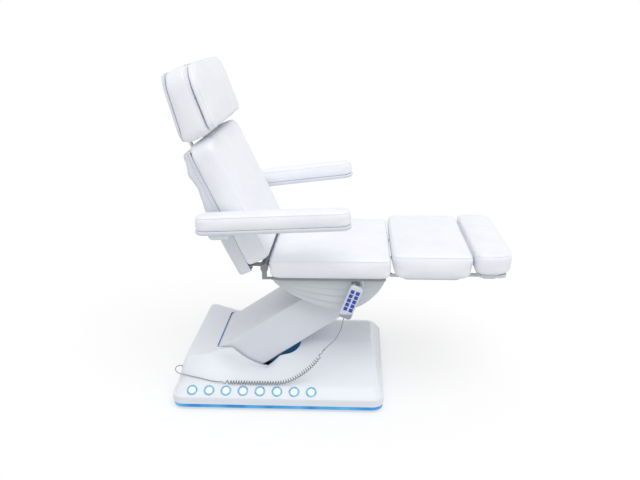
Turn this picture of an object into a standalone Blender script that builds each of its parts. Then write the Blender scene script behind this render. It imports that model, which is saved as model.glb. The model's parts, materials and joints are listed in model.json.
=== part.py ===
"""Electric facial bed: a lit base, a lift arm with a levelling link, and padded rests on it.

The head end points to -X, the foot end to +X, and the user's controls face -Y. Every piece is built where it
stands, measured from the middle of the base on the floor, and hangs on the empty of the body it moves with.
"""

import math

import bmesh
import bpy
from mathutils import Matrix, Vector

# Fits shared by all pieces, in metres
GAP = 0.0003
RUN = 0.0005
SIDE_PLAY = 0.002
SIDES = 12

# Base: light strip, frame plate and moulded cover
BASE_LENGTH = 0.890
BASE_WIDTH = 0.750
BASE_CORNER = 0.050
RAIL_HEIGHT = 0.010
RAIL_LENGTH = 0.800
RAIL_WIDTH = 0.045
RAIL_SPREAD = 0.540
PLATE_THICK = 0.006
STRIP_INSET = 0.003
STRIP_DEPTH = 0.008
STRIP_RISE = 0.002
STRIP_HEIGHT = 0.016
RIM_HEIGHT = 0.034
RIM_ROUND = 0.006
CONSOLE_INSET = 0.046
CONSOLE_RISE = 0.034
END_INSET = 0.018
HUMP_TOP = 0.200
HUMP_LENGTH = 0.784
HUMP_HEAD_HALF = 0.300
HUMP_FOOT_HALF = 0.090
HUMP_TAPER = 2.8
SCOOP_DEPTH = 0.090
SCOOP_X = -0.055
SCOOP_Y = 0.190
SCOOP_HEAD = 0.130
SCOOP_FOOT = 0.060
SCOOP_WIDTH = 0.070
COVER_WALL = 0.004

# Foot buttons in their ring lights
BUTTON_COUNT = 8
BUTTON_PITCH = 0.0716
BUTTON_FIRST_X = -0.358
BUTTON_RADIUS = 0.0162
BUTTON_DOME = 0.0055
BUTTON_SHANK = 0.011
BUTTON_PLAY = 0.0006
RING_WIDTH = 0.0054
RING_PROUD = 0.0025
LIGHT_BAR_WIDTH = 0.040
LIGHT_BAR_THICK = 0.005
LIGHT_BAR_END = 0.034

# Lift arm, its frame, levelling link and drive
ARM_X = -0.213
ARM_Z = 0.117
ARM_ANGLE = 34.45
ARM_LENGTH = 0.540
ARM_DEPTH = 0.158
ARM_WIDTH = 0.360
ARM_WALL = 0.004
ARM_EDGE = 0.006
ARM_TOP = 0.0893
ARM_HEEL = 0.0985
ARM_HEEL_TURN = 44.0
ARM_RIM = 0.028
OPENING_PLAY = 0.010
OPENING_HEAD = 0.0625
OPENING_FOOT_X = 0.085
OPENING_HEAD_CORNER = 0.015
OPENING_CORNER = 0.070
SHAFT_RADIUS = 0.0125
CHEEK_THICK = 0.008
CHEEK_PLAY = 0.012
CHEEK_RADIUS = 0.034
CHEEK_FOOT = 0.130
BAR_DEPTH = 0.090
BAR_SPREAD = 0.200
LINK_RISE = 0.060
LINK_THICK = 0.016
LINK_DEPTH = 0.020
LINK_EYE = 0.015
LINK_PIN = 0.008
LUG_RADIUS = 0.0125
LUG_THICK = 0.008
LUG_FOOT = 0.048
LIFT_SWING = 28.0
LEVER_LENGTH = 0.060
LEVER_THICK = 0.010
LEVER_EYE = 0.012
LIFT_DRIVE_Y = -0.0825
DRIVE_ROD = 0.010
DRIVE_TUBE = 0.020
LIFT_TUBE_START = -0.080
LIFT_TUBE_LENGTH = 0.280
LIFT_ROD_LENGTH = 0.330
GEAR_LENGTH = 0.090
GEAR_HEIGHT = 0.056
GEAR_WIDTH = 0.060
CONTROL_LENGTH = 0.200
CONTROL_WIDTH = 0.130
CONTROL_HEIGHT = 0.055
CONTROL_EDGE = 0.004
CONTROL_X = 0.220
CONTROL_Y = 0.110

# Carrier on the arm's upper shaft, with the shroud and the tilt drive
CARRIER_BEHIND = 0.2463
CARRIER_AHEAD = 0.1397
CARRIER_PLATE = 0.008
CARRIER_CLEAR = 0.005
CARRIER_FOOT = 0.100
CARRIER_CHEEK = 0.022
TILT_BEHIND = 0.2283
TILT_RISE = 0.020
TILT_SPREAD = 0.300
TILT_LUG = 0.014
TILT_DRIVE_AHEAD = 0.1077
TILT_DRIVE_Y = 0.100
TILT_TUBE = 0.016
TILT_TUBE_LENGTH = 0.083
TILT_ROD = 0.009
SHROUD_WIDTH = 0.500
SHROUD_STEP = 0.006
SHROUD_STEPS = 3
SHROUD_STEP_SHARE = 0.24
SHROUD_WALL = 0.004
SHROUD_BEHIND = 0.2523
SHROUD_AHEAD = 0.2157
SHROUD_LOW_AHEAD = 0.0297
SHROUD_POINTS = 16
SHROUD_HEAD_CURVE = 1.5
SHROUD_HEAD_FALL = 0.72
SHROUD_FOOT_CURVE = 2.2
SHROUD_FOOT_FALL = 0.80
SHROUD_DEPTH = 0.140
SHROUD_SEAT_GAP = 0.004

# Seat, back, leg and foot rests
SEAT_PANEL_RISE = 0.1305
PANEL_THICK = 0.012
PANEL_INSET = 0.020
BED_WIDTH = 0.620
SEAT_BEHIND = 0.2563
SEAT_LENGTH = 0.491
SEAT_THICK = 0.082
SEAT_CROWN = 0.010
SEAT_CORNER = 0.022
SEAT_TUCK = 0.016
UNDER_DRIVE_DROP = 0.0205
UNDER_DRIVE_TUBE = 0.016
UNDER_DRIVE_ROD = 0.008
UNDER_DRIVE_SPREAD = 0.120
UNDER_TUBE_BEHIND = 0.1423
UNDER_TUBE_AHEAD = 0.1177
UNDER_BORE_SHARE = 0.4
UNDER_ROD_INSET = 0.020
HINGE_BEHIND = 0.021
HINGE_RISE = 0.047
HINGE_INSET = 0.030
HINGE_LUG = 0.016
HINGE_PIN = 0.008
HINGE_TUBE = 0.012
BACK_ANGLE = 24.5
BACK_SWING = 65.0
BACK_LEVER = 0.070
BACK_FRONT = 0.050
BACK_START = 0.035
BACK_LENGTH = 0.531
BACK_THICK = 0.098
BACK_CROWN = 0.012
BACK_CORNER = 0.060
SHELL_DEPTH = 0.058
SHELL_START = 0.014
SHELL_LENGTH = 0.530
SHELL_INSET = 0.020
SHELL_WALL = 0.004
SHELL_ROUND = 0.018
FRAME_BAR = 0.018
FRAME_BAR_SPREAD = 0.460
RAIL_STEP = 0.002
FRAME_TOP = 0.500
LEG_GAP = 0.006
LEG_HINGE_DROP = 0.0055
LEG_LENGTH = 0.314
LEG_TUCK = 0.030
LEG_PANEL_INSET = 0.042
LEG_LIFT = 0.002
LEG_THICK = 0.101
LEG_CROWN = 0.008
LEG_CORNER = 0.030
LEG_SWING = 75.0
LEG_LEVER = 0.040
LEG_LUG = 0.011
LEG_LUG_SPREAD = 0.450
FOOT_GAP = 0.006
FOOT_LENGTH = 0.152
FOOT_TUCK = 0.013
FOOT_LIFT = 0.020
FOOT_THICK = 0.087
FOOT_CROWN = 0.008
FOOT_CORNER = 0.028
FOOT_END_CORNER = 0.072
FOOT_SLIDE = 0.080
SLIDE_BAR = 0.008
SLIDE_SPREAD = 0.360
SLIDE_LENGTH = 0.270
SLEEVE_WALL = 0.004
SLEEVE_LENGTH = 0.220

# Headrest on two rods
HEAD_GAP = 0.010
HEAD_LENGTH = 0.272
HEAD_THICK_LOW = 0.108
HEAD_THICK_HIGH = 0.084
HEAD_LEAN = 10.0
HEAD_BACK = 0.052
HEAD_CORNER = 0.055
HEAD_CROWN = 0.004
HEAD_EDGE = 0.08
HEAD_PLATE = 0.010
HEAD_PLATE_INSET = 0.010
PILLOW_THICK = 0.030
PILLOW_INSET = 0.004
PILLOW_CROWN = 0.010
HEAD_ROD = 0.008
HEAD_ROD_SPREAD = 0.240
HEAD_ROD_X = -0.077
HEAD_PIVOT = 0.665
HEAD_BAR = 0.010
HEAD_ROD_DEPTH = 0.240
HEAD_SLEEVE_LENGTH = 0.110
HEAD_CLAMP_WIDTH = 0.030
HEAD_CLAMP_SPREAD = 0.160

# Armrests on the sides of the back
ARMREST_UP = 0.225
ARMREST_X = -0.063
ARMREST_LENGTH = 0.601
ARMREST_WIDTH = 0.100
ARMREST_REAR = 0.0950
ARMREST_GAP = 0.012
ARMREST_CORNER = 0.040
TRAY_BOTTOM = 0.002
TRAY_TOP = 0.018
TRAY_BULGE = 0.35
TRAY_SOLE = (0.97, 0.76)
TRAY_WAIST = (0.995, 0.95)
ARM_PAD_THICK = 0.058
ARM_PAD_CROWN = 0.005
ARMREST_HUB = 0.018
ARMREST_HUB_SPREAD = 0.048
ARMREST_PIN = 0.0085
NEAR_ARMREST_TILT = 2.5
FAR_ARMREST_TILT = 6.5

# Handset, hook and cord
HANDSET_AHEAD = 0.1002
HANDSET_DROP = 0.017
HANDSET_LEAN = 21.5
HANDSET_LENGTH = 0.145
HANDSET_WIDTH = 0.052
HANDSET_THICK = 0.022
HANDSET_STAND = 0.026
HANDSET_ROUND = 0.012
KEY_ROWS = 5
KEY_COLUMNS = 2
KEY_SIZE = 0.0145
KEY_THICK = 0.0045
KEY_PROUD = 0.0015
KEY_ROW_PITCH = 0.0195
KEY_COLUMN_PITCH = 0.0225
KEY_FIRST = 0.025
KEY_PLAY = 0.0006
HOOK_WIDTH = 0.050
HOOK_WIRE = 0.003
HOOK_DROP = 0.012
CORD_DIAMETER = 0.004
COIL_OUTER = 0.016
COIL_CURLS = 40
CURL_POINTS = 8
CORD_STEP = 0.010
GLAND_RADIUS = 0.008
GLAND_LENGTH = 0.007
GLAND_Y = -0.230
GLAND_Z = 0.125

# The cord's route. The lead bows towards the foot end: each pair is the share of the way from the handset
# to the coil, and the bow there. The coil and the tail are in the base's frame.
LEAD_ROUTE = [(0.245, 0.0113), (0.448, 0.0185), (0.686, 0.0178), (0.860, 0.0073)]
COIL_START = (0.1960, -0.317, 0.258)
COIL_ROUTE = [
    (0.1620, -0.320, 0.208),
    (0.1240, -0.324, 0.169),
    (0.0840, -0.327, 0.139),
    (0.0420, -0.329, 0.118),
    (0.0000, -0.329, 0.1085),
    (-0.0600, -0.329, 0.1075),
    (-0.1200, -0.329, 0.1075),
    (-0.1800, -0.3295, 0.1080),
]
COIL_END = (-0.2450, -0.3300, 0.1090)
TAIL_ROUTE = [
    (-0.2850, -0.3230, 0.1105),
    (-0.3300, -0.3190, 0.1195),
    (-0.3750, -0.3180, 0.1295),
    (-0.4170, -0.3150, 0.1380),
    (-0.4370, -0.2920, 0.1370),
    (-0.4450, -0.2640, 0.1345),
    (-0.4430, -0.2440, 0.1325),
]

# Places that follow from the sizes above: what stands on the arm is placed from its upper shaft
PLATE_Z = RAIL_HEIGHT + PLATE_THICK
STRIP_Z = RAIL_HEIGHT + STRIP_RISE
RIM_Z = STRIP_Z + STRIP_HEIGHT + RIM_HEIGHT
CONSOLE_Z = RIM_Z + CONSOLE_RISE
TURN = math.radians(ARM_ANGLE)
UPPER_X = ARM_X + ARM_LENGTH * math.cos(TURN)
UPPER_Z = ARM_Z + ARM_LENGTH * math.sin(TURN)
CHEEK_Y = ARM_WIDTH / 2 + CHEEK_PLAY
CARRIER_Z = UPPER_Z + ARM_DEPTH / 2 + CARRIER_CLEAR
CARRIER_HEAD_X = UPPER_X - CARRIER_BEHIND
CARRIER_FOOT_X = UPPER_X + CARRIER_AHEAD
TILT_X = UPPER_X - TILT_BEHIND
TILT_Z = CARRIER_Z + CARRIER_PLATE + TILT_RISE
TILT_DRIVE_X = UPPER_X + TILT_DRIVE_AHEAD
SHROUD_HEAD_X = UPPER_X - SHROUD_BEHIND
SHROUD_FOOT_X = UPPER_X + SHROUD_AHEAD
SHROUD_LOW_X = UPPER_X + SHROUD_LOW_AHEAD
SEAT_PANEL_Z = UPPER_Z + SEAT_PANEL_RISE
SEAT_Z = SEAT_PANEL_Z + PANEL_THICK
SEAT_HEAD_X = UPPER_X - SEAT_BEHIND
SEAT_FOOT_X = SEAT_HEAD_X + SEAT_LENGTH
UNDER_TUBE_HEAD_X = UPPER_X - UNDER_TUBE_BEHIND
UNDER_TUBE_FOOT_X = UPPER_X + UNDER_TUBE_AHEAD
HINGE_X = SEAT_HEAD_X - HINGE_BEHIND
HINGE_Z = SEAT_PANEL_Z + HINGE_RISE
HINGE_SPREAD = BED_WIDTH - 2 * HINGE_INSET
SHELL_WIDTH = BED_WIDTH - 2 * SHELL_INSET
HANDSET_TOP_X = UPPER_X + HANDSET_AHEAD
HANDSET_TOP_Z = SEAT_PANEL_Z - HANDSET_DROP
UNDER_DRIVE_Z = SEAT_PANEL_Z - UNDER_DRIVE_DROP
LEG_X = SEAT_FOOT_X + LEG_GAP / 2
LEG_Z = SEAT_PANEL_Z + LEG_HINGE_DROP
LEG_HEAD_X = SEAT_FOOT_X + LEG_GAP
LEG_FOOT_X = LEG_HEAD_X + LEG_LENGTH
FOOT_HEAD_X = LEG_FOOT_X + FOOT_GAP
FOOT_END_X = FOOT_HEAD_X + FOOT_LENGTH
ROOT_X = -(FOOT_END_X - BASE_LENGTH / 2) / 2

# Clear the scene and make the two collections
for old in list(bpy.data.objects):
    bpy.data.objects.remove(old)
parts = bpy.data.collections.new("facial_bed")
cutters = bpy.data.collections.new("cutters")
for collection in (parts, cutters):
    bpy.context.scene.collection.children.link(collection)


def material(name, colour, roughness, metallic=0.0):
    """A Principled material of one colour."""
    made = bpy.data.materials.new(name)
    made.use_nodes = True
    shader = made.node_tree.nodes["Principled BSDF"]
    shader.inputs["Base Color"].default_value = (*colour, 1.0)
    shader.inputs["Roughness"].default_value = roughness
    shader.inputs["Metallic"].default_value = metallic
    return made


ABS_WHITE = (0.86, 0.87, 0.89)
LEATHER_WHITE = (0.88, 0.88, 0.91)
STEEL_GREY = (0.35, 0.36, 0.38)
BRIGHT_STEEL = (0.75, 0.75, 0.76)
MOTOR_GREY = (0.22, 0.23, 0.25)
LIGHT_BLUE = (0.05, 0.45, 0.90)
KEY_BLUE = (0.03, 0.06, 0.42)
CASE_GREY = (0.72, 0.73, 0.74)
SHROUD_GREY = (0.70, 0.72, 0.73)
RUBBER_BLACK = (0.03, 0.03, 0.03)
CORD_GREY = (0.55, 0.56, 0.58)

bodies = {}
pivots = {}


def body(name, parent, pivot):
    """An empty on the body's joint axis, under its parent body's empty."""
    empty = bpy.data.objects.new(name + "_body", None)
    parts.objects.link(empty)
    pivots[name] = Vector(pivot)
    if parent:
        empty.parent = bodies[parent]
        empty.location = pivots[name] - pivots[parent]
    else:
        empty.location = (ROOT_X, 0.0, 0.0)
    bodies[name] = empty


def add_mesh(name, bm, owner, collection):
    """An object from a bmesh in the base's frame, with its origin on its body's axis."""
    bmesh.ops.recalc_face_normals(bm, faces=bm.faces)
    bmesh.ops.translate(bm, verts=bm.verts, vec=-pivots[owner])
    mesh = bpy.data.meshes.new(name)
    bm.to_mesh(mesh)
    bm.free()
    made = bpy.data.objects.new(name, mesh)
    made.parent = bodies[owner]
    collection.objects.link(made)
    return made


def finish(name, look):
    """A part's own copy of a material."""
    own = look.copy()
    own.name = name + "_" + look.name
    return own


def piece(name, bm, owner, look):
    """A visible part."""
    made = add_mesh(name, bm, owner, parts)
    made.data.materials.append(finish(name, look))
    made.data.shade_smooth()
    made.data.set_sharp_from_angle(angle=math.radians(35))
    return made


def boolean(target, bm, owner, operation):
    """Joins a shape to the target, or cuts it out."""
    helper = add_mesh(target.name + "_" + operation.lower(), bm, owner, cutters)
    helper.hide_render = True
    helper.display_type = "WIRE"
    step = target.modifiers.new(operation.title(), "BOOLEAN")
    step.operation = operation
    step.solver = "EXACT"
    step.object = helper


def assembly(name, shapes, owner, look):
    """One part welded from several overlapping shapes."""
    made = piece(name, shapes[0], owner, look)
    for shape in shapes[1:]:
        boolean(made, shape, owner, "UNION")
    return made


def box(low, high, bevel=0.0):
    """A box between two corners, with its edges rounded by bevel."""
    bm = bmesh.new()
    bmesh.ops.create_cube(bm, size=1.0)
    size = Vector(high) - Vector(low)
    bmesh.ops.scale(bm, verts=bm.verts, vec=size)
    bmesh.ops.translate(bm, verts=bm.verts, vec=(Vector(high) + Vector(low)) / 2)
    if bevel:
        bmesh.ops.bevel(bm, geom=bm.edges, offset=bevel, segments=2, profile=0.5, affect="EDGES")
    return bm


def rod(start, end, radius, sides=SIDES):
    """A cylinder between two points."""
    start = Vector(start)
    end = Vector(end)
    bm = bmesh.new()
    length = (end - start).length
    bmesh.ops.create_cone(bm, cap_ends=True, segments=sides, radius1=radius, radius2=radius, depth=length)
    turn = (end - start).to_track_quat("Z", "Y").to_matrix().to_4x4()
    bmesh.ops.transform(bm, verts=bm.verts, matrix=Matrix.Translation((start + end) / 2) @ turn)
    return bm


def cross_rod(x, z, y_low, y_high, radius):
    """A cylinder that lies across the bed."""
    return rod((x, y_low, z), (x, y_high, z), radius)


def bore(radius, sides=SIDES):
    """The radius of a faceted hole that a faceted rod of this radius can turn in."""
    return (radius + RUN) / math.cos(math.pi / sides)


def prism(outline, y_low, y_high):
    """An outline of (x, z) points carried across the bed."""
    bm = bmesh.new()
    face = bm.faces.new([bm.verts.new((x, y_low, z)) for x, z in outline])
    grown = bmesh.ops.extrude_face_region(bm, geom=[face])
    moved = [item for item in grown["geom"] if isinstance(item, bmesh.types.BMVert)]
    bmesh.ops.translate(bm, verts=moved, vec=(0.0, y_high - y_low, 0.0))
    return bm


def arc(centre, radius, start, end, steps):
    """Points of an arc, angles in degrees from +X towards +Z."""
    angles = [math.radians(start + (end - start) * k / steps) for k in range(steps + 1)]
    return [(centre[0] + radius * math.cos(a), centre[1] + radius * math.sin(a)) for a in angles]


def bar_outline(start, end, radius, steps=8):
    """The outline of a bar with round ends."""
    angle = math.degrees(math.atan2(end[1] - start[1], end[0] - start[0]))
    far = arc(end, radius, angle - 90, angle + 90, steps)
    return far + arc(start, radius, angle + 90, angle + 270, steps)


def ring(length, width, head_corner, foot_corner, turn=4, along=1, across=1):
    """A rounded rectangle, counter-clockwise from above, with its straight runs cut into steps."""
    corners = ((1, -1, foot_corner), (1, 1, foot_corner), (-1, 1, head_corner), (-1, -1, head_corner))
    arcs = []
    for index, (side_x, side_y, radius) in enumerate(corners):
        centre = (side_x * (length / 2 - radius), side_y * (width / 2 - radius))
        arcs.append(arc(centre, radius, 90 * index - 90, 90 * index, turn))
    points = []
    for index, run in enumerate(arcs):
        points += run
        first = Vector(run[-1])
        last = Vector(arcs[(index + 1) % 4][0])
        steps = along if index % 2 else across
        points += [tuple(first.lerp(last, k / steps)) for k in range(1, steps)]
    return points


def loft(sections, cap_first=True, cap_last=True, loop=False):
    """A skin over sections of equally many points."""
    bm = bmesh.new()
    rows = [[bm.verts.new(point) for point in section] for section in sections]
    pairs = list(zip(rows, rows[1:]))
    if loop:
        pairs.append((rows[-1], rows[0]))
    for low, high in pairs:
        for k in range(len(low)):
            after = (k + 1) % len(low)
            bm.faces.new((low[k], low[after], high[after], high[k]))
    if cap_first:
        bm.faces.new(list(reversed(rows[0])))
    if cap_last:
        bm.faces.new(rows[-1])
    return bm


def slab(length, width, corner, z_low, z_high, centre=(0.0, 0.0)):
    """A flat plate with rounded corners."""
    outline = ring(length, width, corner, corner)
    return loft([[(x + centre[0], y + centre[1], z) for x, y in outline] for z in (z_low, z_high)])


def cushion(
    length,
    width,
    thick,
    crown,
    head_corner,
    foot_corner,
    steps=5,
    pull=0.008,
    thick_foot=None,
    tuck=0.0,
    edge=0.2,
):
    """An upholstered block on z = 0: tucked-in foot, sides drawn in between the corners, crowned top."""
    levels = [
        (0.16 * thick, 0.0),
        (0.0, 0.30),
        (0.004, 0.55),
        (0.0, 1.0 - edge),
        (0.3 * edge * thick, 1.0 - edge / 4),
        (edge * thick, 1.0),
    ]
    inner = min(length, width) / 2
    sections = []
    for inset, height in levels + [(0.45 * inner, 1.0), (0.85 * inner, 1.0)]:
        share = max(0.0, inset / inner - 0.1) / 0.75
        rise = crown * (1.0 - (1.0 - min(share, 1.0)) ** 2)
        corners = [max(corner - inset, 0.15 * corner) for corner in (head_corner, foot_corner)]
        ends = inset if height else inset + tuck
        points = ring(length - 2 * ends, width - 2 * inset, *corners, 3, steps, steps)
        section = []
        for x, y in points:
            along = 2 * x / length
            across = 2 * y / width
            depth = thick
            if thick_foot:
                depth = thick + (thick_foot - thick) * (x / length + 0.5)
            drawn_x = x * (1.0 - pull * (1.0 - across**2))
            drawn_y = y * (1.0 - pull * (1.0 - along**2))
            section.append((drawn_x, drawn_y, height * depth + rise))
        sections.append(section)
    return loft(sections)


def moved(bm, matrix):
    """The same shape, moved."""
    bmesh.ops.transform(bm, verts=bm.verts, matrix=matrix)
    return bm


def opened(bm, matrix_test):
    """The same shape without the faces whose middle passes the test."""
    gone = [face for face in bm.faces if matrix_test(face.calc_center_median())]
    bmesh.ops.delete(bm, geom=gone, context="FACES")
    return bm


def shell(target, wall):
    """Gives an open skin its wall, inwards."""
    step = target.modifiers.new("Wall", "SOLIDIFY")
    step.thickness = wall
    step.offset = -1.0
    step.use_even_offset = True


white_plastic = material("white_plastic", ABS_WHITE, 0.30)
cover_plastic = material("cover_plastic", ABS_WHITE, 0.25)
arm_plastic = material("arm_plastic", ABS_WHITE, 0.28)
shroud_plastic = material("shroud_plastic", SHROUD_GREY, 0.35)
leather = material("white_leather", LEATHER_WHITE, 0.45)
frame_steel = material("frame_steel", STEEL_GREY, 0.45, 0.6)
bright_steel = material("bright_steel", BRIGHT_STEEL, 0.22, 1.0)
motor_paint = material("motor_paint", MOTOR_GREY, 0.50)
blue_light = material("blue_light", LIGHT_BLUE, 0.30)
key_plastic = material("key_plastic", KEY_BLUE, 0.40)
button_plastic = material("button_plastic", ABS_WHITE, 0.25)
handset_plastic = material("handset_plastic", CASE_GREY, 0.40)
rubber = material("rubber", RUBBER_BLACK, 0.80)
cord_plastic = material("cord_plastic", CORD_GREY, 0.45)

# The tree of bodies
arm_frame = Matrix.Translation((ARM_X, 0.0, ARM_Z)) @ Matrix.Rotation(-TURN, 4, "Y")
back_frame = Matrix.Translation((HINGE_X, 0.0, HINGE_Z)) @ Matrix.Rotation(-math.radians(BACK_ANGLE), 4, "Y")
head_pivot = back_frame @ Vector((HEAD_ROD_X, 0.0, HEAD_PIVOT))
armrest_pivot = back_frame @ Vector((ARMREST_X, 0.0, ARMREST_UP))
body("base", None, (0.0, 0.0, 0.0))
body("lift_arm", "base", (ARM_X, 0.0, ARM_Z))
body("lift_rod", "base", (LIFT_TUBE_START, LIFT_DRIVE_Y, ARM_Z))
body("level_link", "base", (ARM_X, 0.0, ARM_Z + LINK_RISE))
body("carrier", "lift_arm", (UPPER_X, 0.0, UPPER_Z))
body("tilt_rod", "carrier", (TILT_DRIVE_X, TILT_DRIVE_Y, CARRIER_Z))
body("seat", "carrier", (TILT_X, 0.0, TILT_Z))
body("back_rod", "seat", (UNDER_TUBE_HEAD_X, -UNDER_DRIVE_SPREAD / 2, UNDER_DRIVE_Z))
body("leg_rod", "seat", (UNDER_TUBE_FOOT_X, UNDER_DRIVE_SPREAD / 2, UNDER_DRIVE_Z))
body("back", "seat", (HINGE_X, 0.0, HINGE_Z))
body("head_slide", "back", tuple(head_pivot))
body("headrest", "head_slide", tuple(head_pivot))
body("leg_rest", "seat", (LEG_X, 0.0, LEG_Z))
body("foot_rest", "leg_rest", (FOOT_HEAD_X, 0.0, SEAT_Z))
for armrest_name in ("armrest_near", "armrest_far"):
    body(armrest_name, "back", tuple(armrest_pivot))


# Base: rubber rails, frame plate with the arm's cheeks and the link's lugs, light strip
def base_ring(inset_x, inset_y, z):
    """The base's outline, drawn in at its ends and sides."""
    corner = BASE_CORNER - min(inset_x, inset_y)
    points = ring(BASE_LENGTH - 2 * inset_x, BASE_WIDTH - 2 * inset_y, corner, corner, 4, 8, 4)
    return [(x, y, z) for x, y in points]


for rail_name, side in (("foot_rail_near", -1), ("foot_rail_far", 1)):
    middle = side * RAIL_SPREAD / 2
    rail_low = (-RAIL_LENGTH / 2, middle - RAIL_WIDTH / 2, 0.0)
    rail_high = (RAIL_LENGTH / 2, middle + RAIL_WIDTH / 2, RAIL_HEIGHT - GAP)
    piece(rail_name, box(rail_low, rail_high), "base", rubber)

plate_inset = STRIP_INSET + STRIP_DEPTH + GAP
plate_rings = [base_ring(plate_inset, plate_inset, z) for z in (RAIL_HEIGHT, PLATE_Z)]
frame_shapes = [loft(plate_rings)]
lug_inner = LINK_THICK / 2 + SIDE_PLAY
for side in (-1, 1):
    cheek_y = sorted((side * CHEEK_Y, side * (CHEEK_Y + CHEEK_THICK)))
    lug_root = PLATE_Z - PLATE_THICK / 2
    cheek = [(ARM_X - CHEEK_FOOT / 2, lug_root), (ARM_X + CHEEK_FOOT / 2, lug_root)]
    cheek += arc((ARM_X, ARM_Z), CHEEK_RADIUS, 0, 180, 8)
    frame_shapes.append(prism(cheek, *cheek_y))
    lug_y = sorted((side * lug_inner, side * (lug_inner + LUG_THICK)))
    shoulder = ARM_Z + LUG_FOOT / 2
    lug = [(ARM_X - LUG_FOOT / 2, lug_root), (ARM_X + LUG_FOOT / 2, lug_root)]
    lug += [(ARM_X + LUG_FOOT / 2, shoulder)]
    lug += arc((ARM_X, ARM_Z + LINK_RISE), LUG_RADIUS, 0, 180, 6)
    lug += [(ARM_X - LUG_FOOT / 2, shoulder)]
    frame_shapes.append(prism(lug, *lug_y))
pin_end = lug_inner + LUG_THICK / 2
frame_shapes.append(cross_rod(ARM_X, ARM_Z + LINK_RISE, -pin_end, pin_end, LINK_PIN))
base_frame = assembly("base_frame", frame_shapes, "base", frame_steel)
shaft_end = CHEEK_Y + CHEEK_THICK + SIDE_PLAY
shaft_hole = bore(SHAFT_RADIUS)
shaft_cut = cross_rod(ARM_X, ARM_Z, -shaft_end - CHEEK_THICK, shaft_end + CHEEK_THICK, shaft_hole)
boolean(base_frame, shaft_cut, "base", "DIFFERENCE")

strip_inner = STRIP_INSET + STRIP_DEPTH
strip_top = STRIP_Z + STRIP_HEIGHT
strip_rings = [
    base_ring(STRIP_INSET, STRIP_INSET, STRIP_Z),
    base_ring(STRIP_INSET, STRIP_INSET, strip_top),
    base_ring(strip_inner, strip_inner, strip_top),
    base_ring(strip_inner, strip_inner, STRIP_Z),
]
piece("light_strip", loft(strip_rings, False, False, loop=True), "base", blue_light)

control_low = (CONTROL_X - CONTROL_LENGTH / 2, CONTROL_Y - CONTROL_WIDTH / 2, PLATE_Z + GAP)
control_top = PLATE_Z + CONTROL_HEIGHT
control_high = (CONTROL_X + CONTROL_LENGTH / 2, CONTROL_Y + CONTROL_WIDTH / 2, control_top)
piece("control_box", box(control_low, control_high, CONTROL_EDGE), "base", motor_paint)


# Base cover: rim, console slope and a hump that narrows towards the foot end
def hump_half(x):
    """Half width of the hump's flat top at x."""
    share = max(0.0, 0.5 - x / HUMP_LENGTH)
    return HUMP_FOOT_HALF + (HUMP_HEAD_HALF - HUMP_FOOT_HALF) * share**HUMP_TAPER


def hump_ring(share, height, scooped=True):
    """A ring between the console's upper edge and the hump's flat top."""
    half_length = BASE_LENGTH / 2 - END_INSET
    half_width = BASE_WIDTH / 2 - CONSOLE_INSET
    section = []
    for x, y, _ in base_ring(END_INSET, CONSOLE_INSET, 0.0):
        top_x = x * HUMP_LENGTH / 2 / half_length
        top_y = y / half_width * hump_half(top_x)
        here_x = x + (top_x - x) * share
        here_y = y + (top_y - y) * share
        z = CONSOLE_Z + (HUMP_TOP - CONSOLE_Z) * height
        if scooped:
            scoop_length = SCOOP_HEAD if here_x < SCOOP_X else SCOOP_FOOT
            near_x = math.exp(-(((here_x - SCOOP_X) / scoop_length) ** 2))
            near_y = math.exp(-(((abs(here_y) - SCOOP_Y) / SCOOP_WIDTH) ** 2))
            z -= SCOOP_DEPTH * near_x * near_y * share
        section.append((here_x, here_y, z))
    return section


cover_rings = [
    base_ring(0.0, 0.0, strip_top + GAP),
    base_ring(0.0, 0.0, RIM_Z - RIM_ROUND),
    base_ring(RIM_ROUND, RIM_ROUND, RIM_Z),
    base_ring(END_INSET, CONSOLE_INSET, CONSOLE_Z),
    hump_ring(0.35, 0.37),
    hump_ring(0.70, 0.73),
    hump_ring(0.92, 0.95),
    hump_ring(1.0, 1.0, scooped=False),
]
base_cover = piece("base_cover", loft(cover_rings, cap_first=False), "base", cover_plastic)
shell(base_cover, COVER_WALL)
opening_head_x = ARM_X - OPENING_HEAD
opening_length = OPENING_FOOT_X - opening_head_x
opening_width = ARM_WIDTH + 2 * OPENING_PLAY
opening = ring(opening_length, opening_width, OPENING_HEAD_CORNER, OPENING_CORNER)
opening_middle = (opening_head_x + OPENING_FOOT_X) / 2
opening_heights = (RIM_Z, HUMP_TOP + COVER_WALL)
opening_cut = [[(x + opening_middle, y, z) for x, y in opening] for z in opening_heights]
boolean(base_cover, loft(opening_cut), "base", "DIFFERENCE")

# Foot buttons: each cap slides square to the console, inside its ring of the light bar
console_run = CONSOLE_INSET - RIM_ROUND
console_tilt = math.atan2(CONSOLE_RISE, console_run)
console_middle = (0.0, (CONSOLE_INSET + RIM_ROUND) / 2 - BASE_WIDTH / 2, RIM_Z + CONSOLE_RISE / 2)
console_frame = Matrix.Translation(console_middle) @ Matrix.Rotation(console_tilt, 4, "X")
ring_inner = BUTTON_RADIUS + BUTTON_PLAY
ring_outer = ring_inner + RING_WIDTH
bar_top = -COVER_WALL - GAP
bar_bottom = bar_top - LIGHT_BAR_THICK
button_last_x = BUTTON_FIRST_X + BUTTON_PITCH * (BUTTON_COUNT - 1)
bar_low = (BUTTON_FIRST_X - LIGHT_BAR_END, -LIGHT_BAR_WIDTH / 2, bar_bottom)
bar_high = (button_last_x + LIGHT_BAR_END, LIGHT_BAR_WIDTH / 2, bar_top)
ring_lights = piece("ring_lights", moved(box(bar_low, bar_high), console_frame), "base", blue_light)
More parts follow.
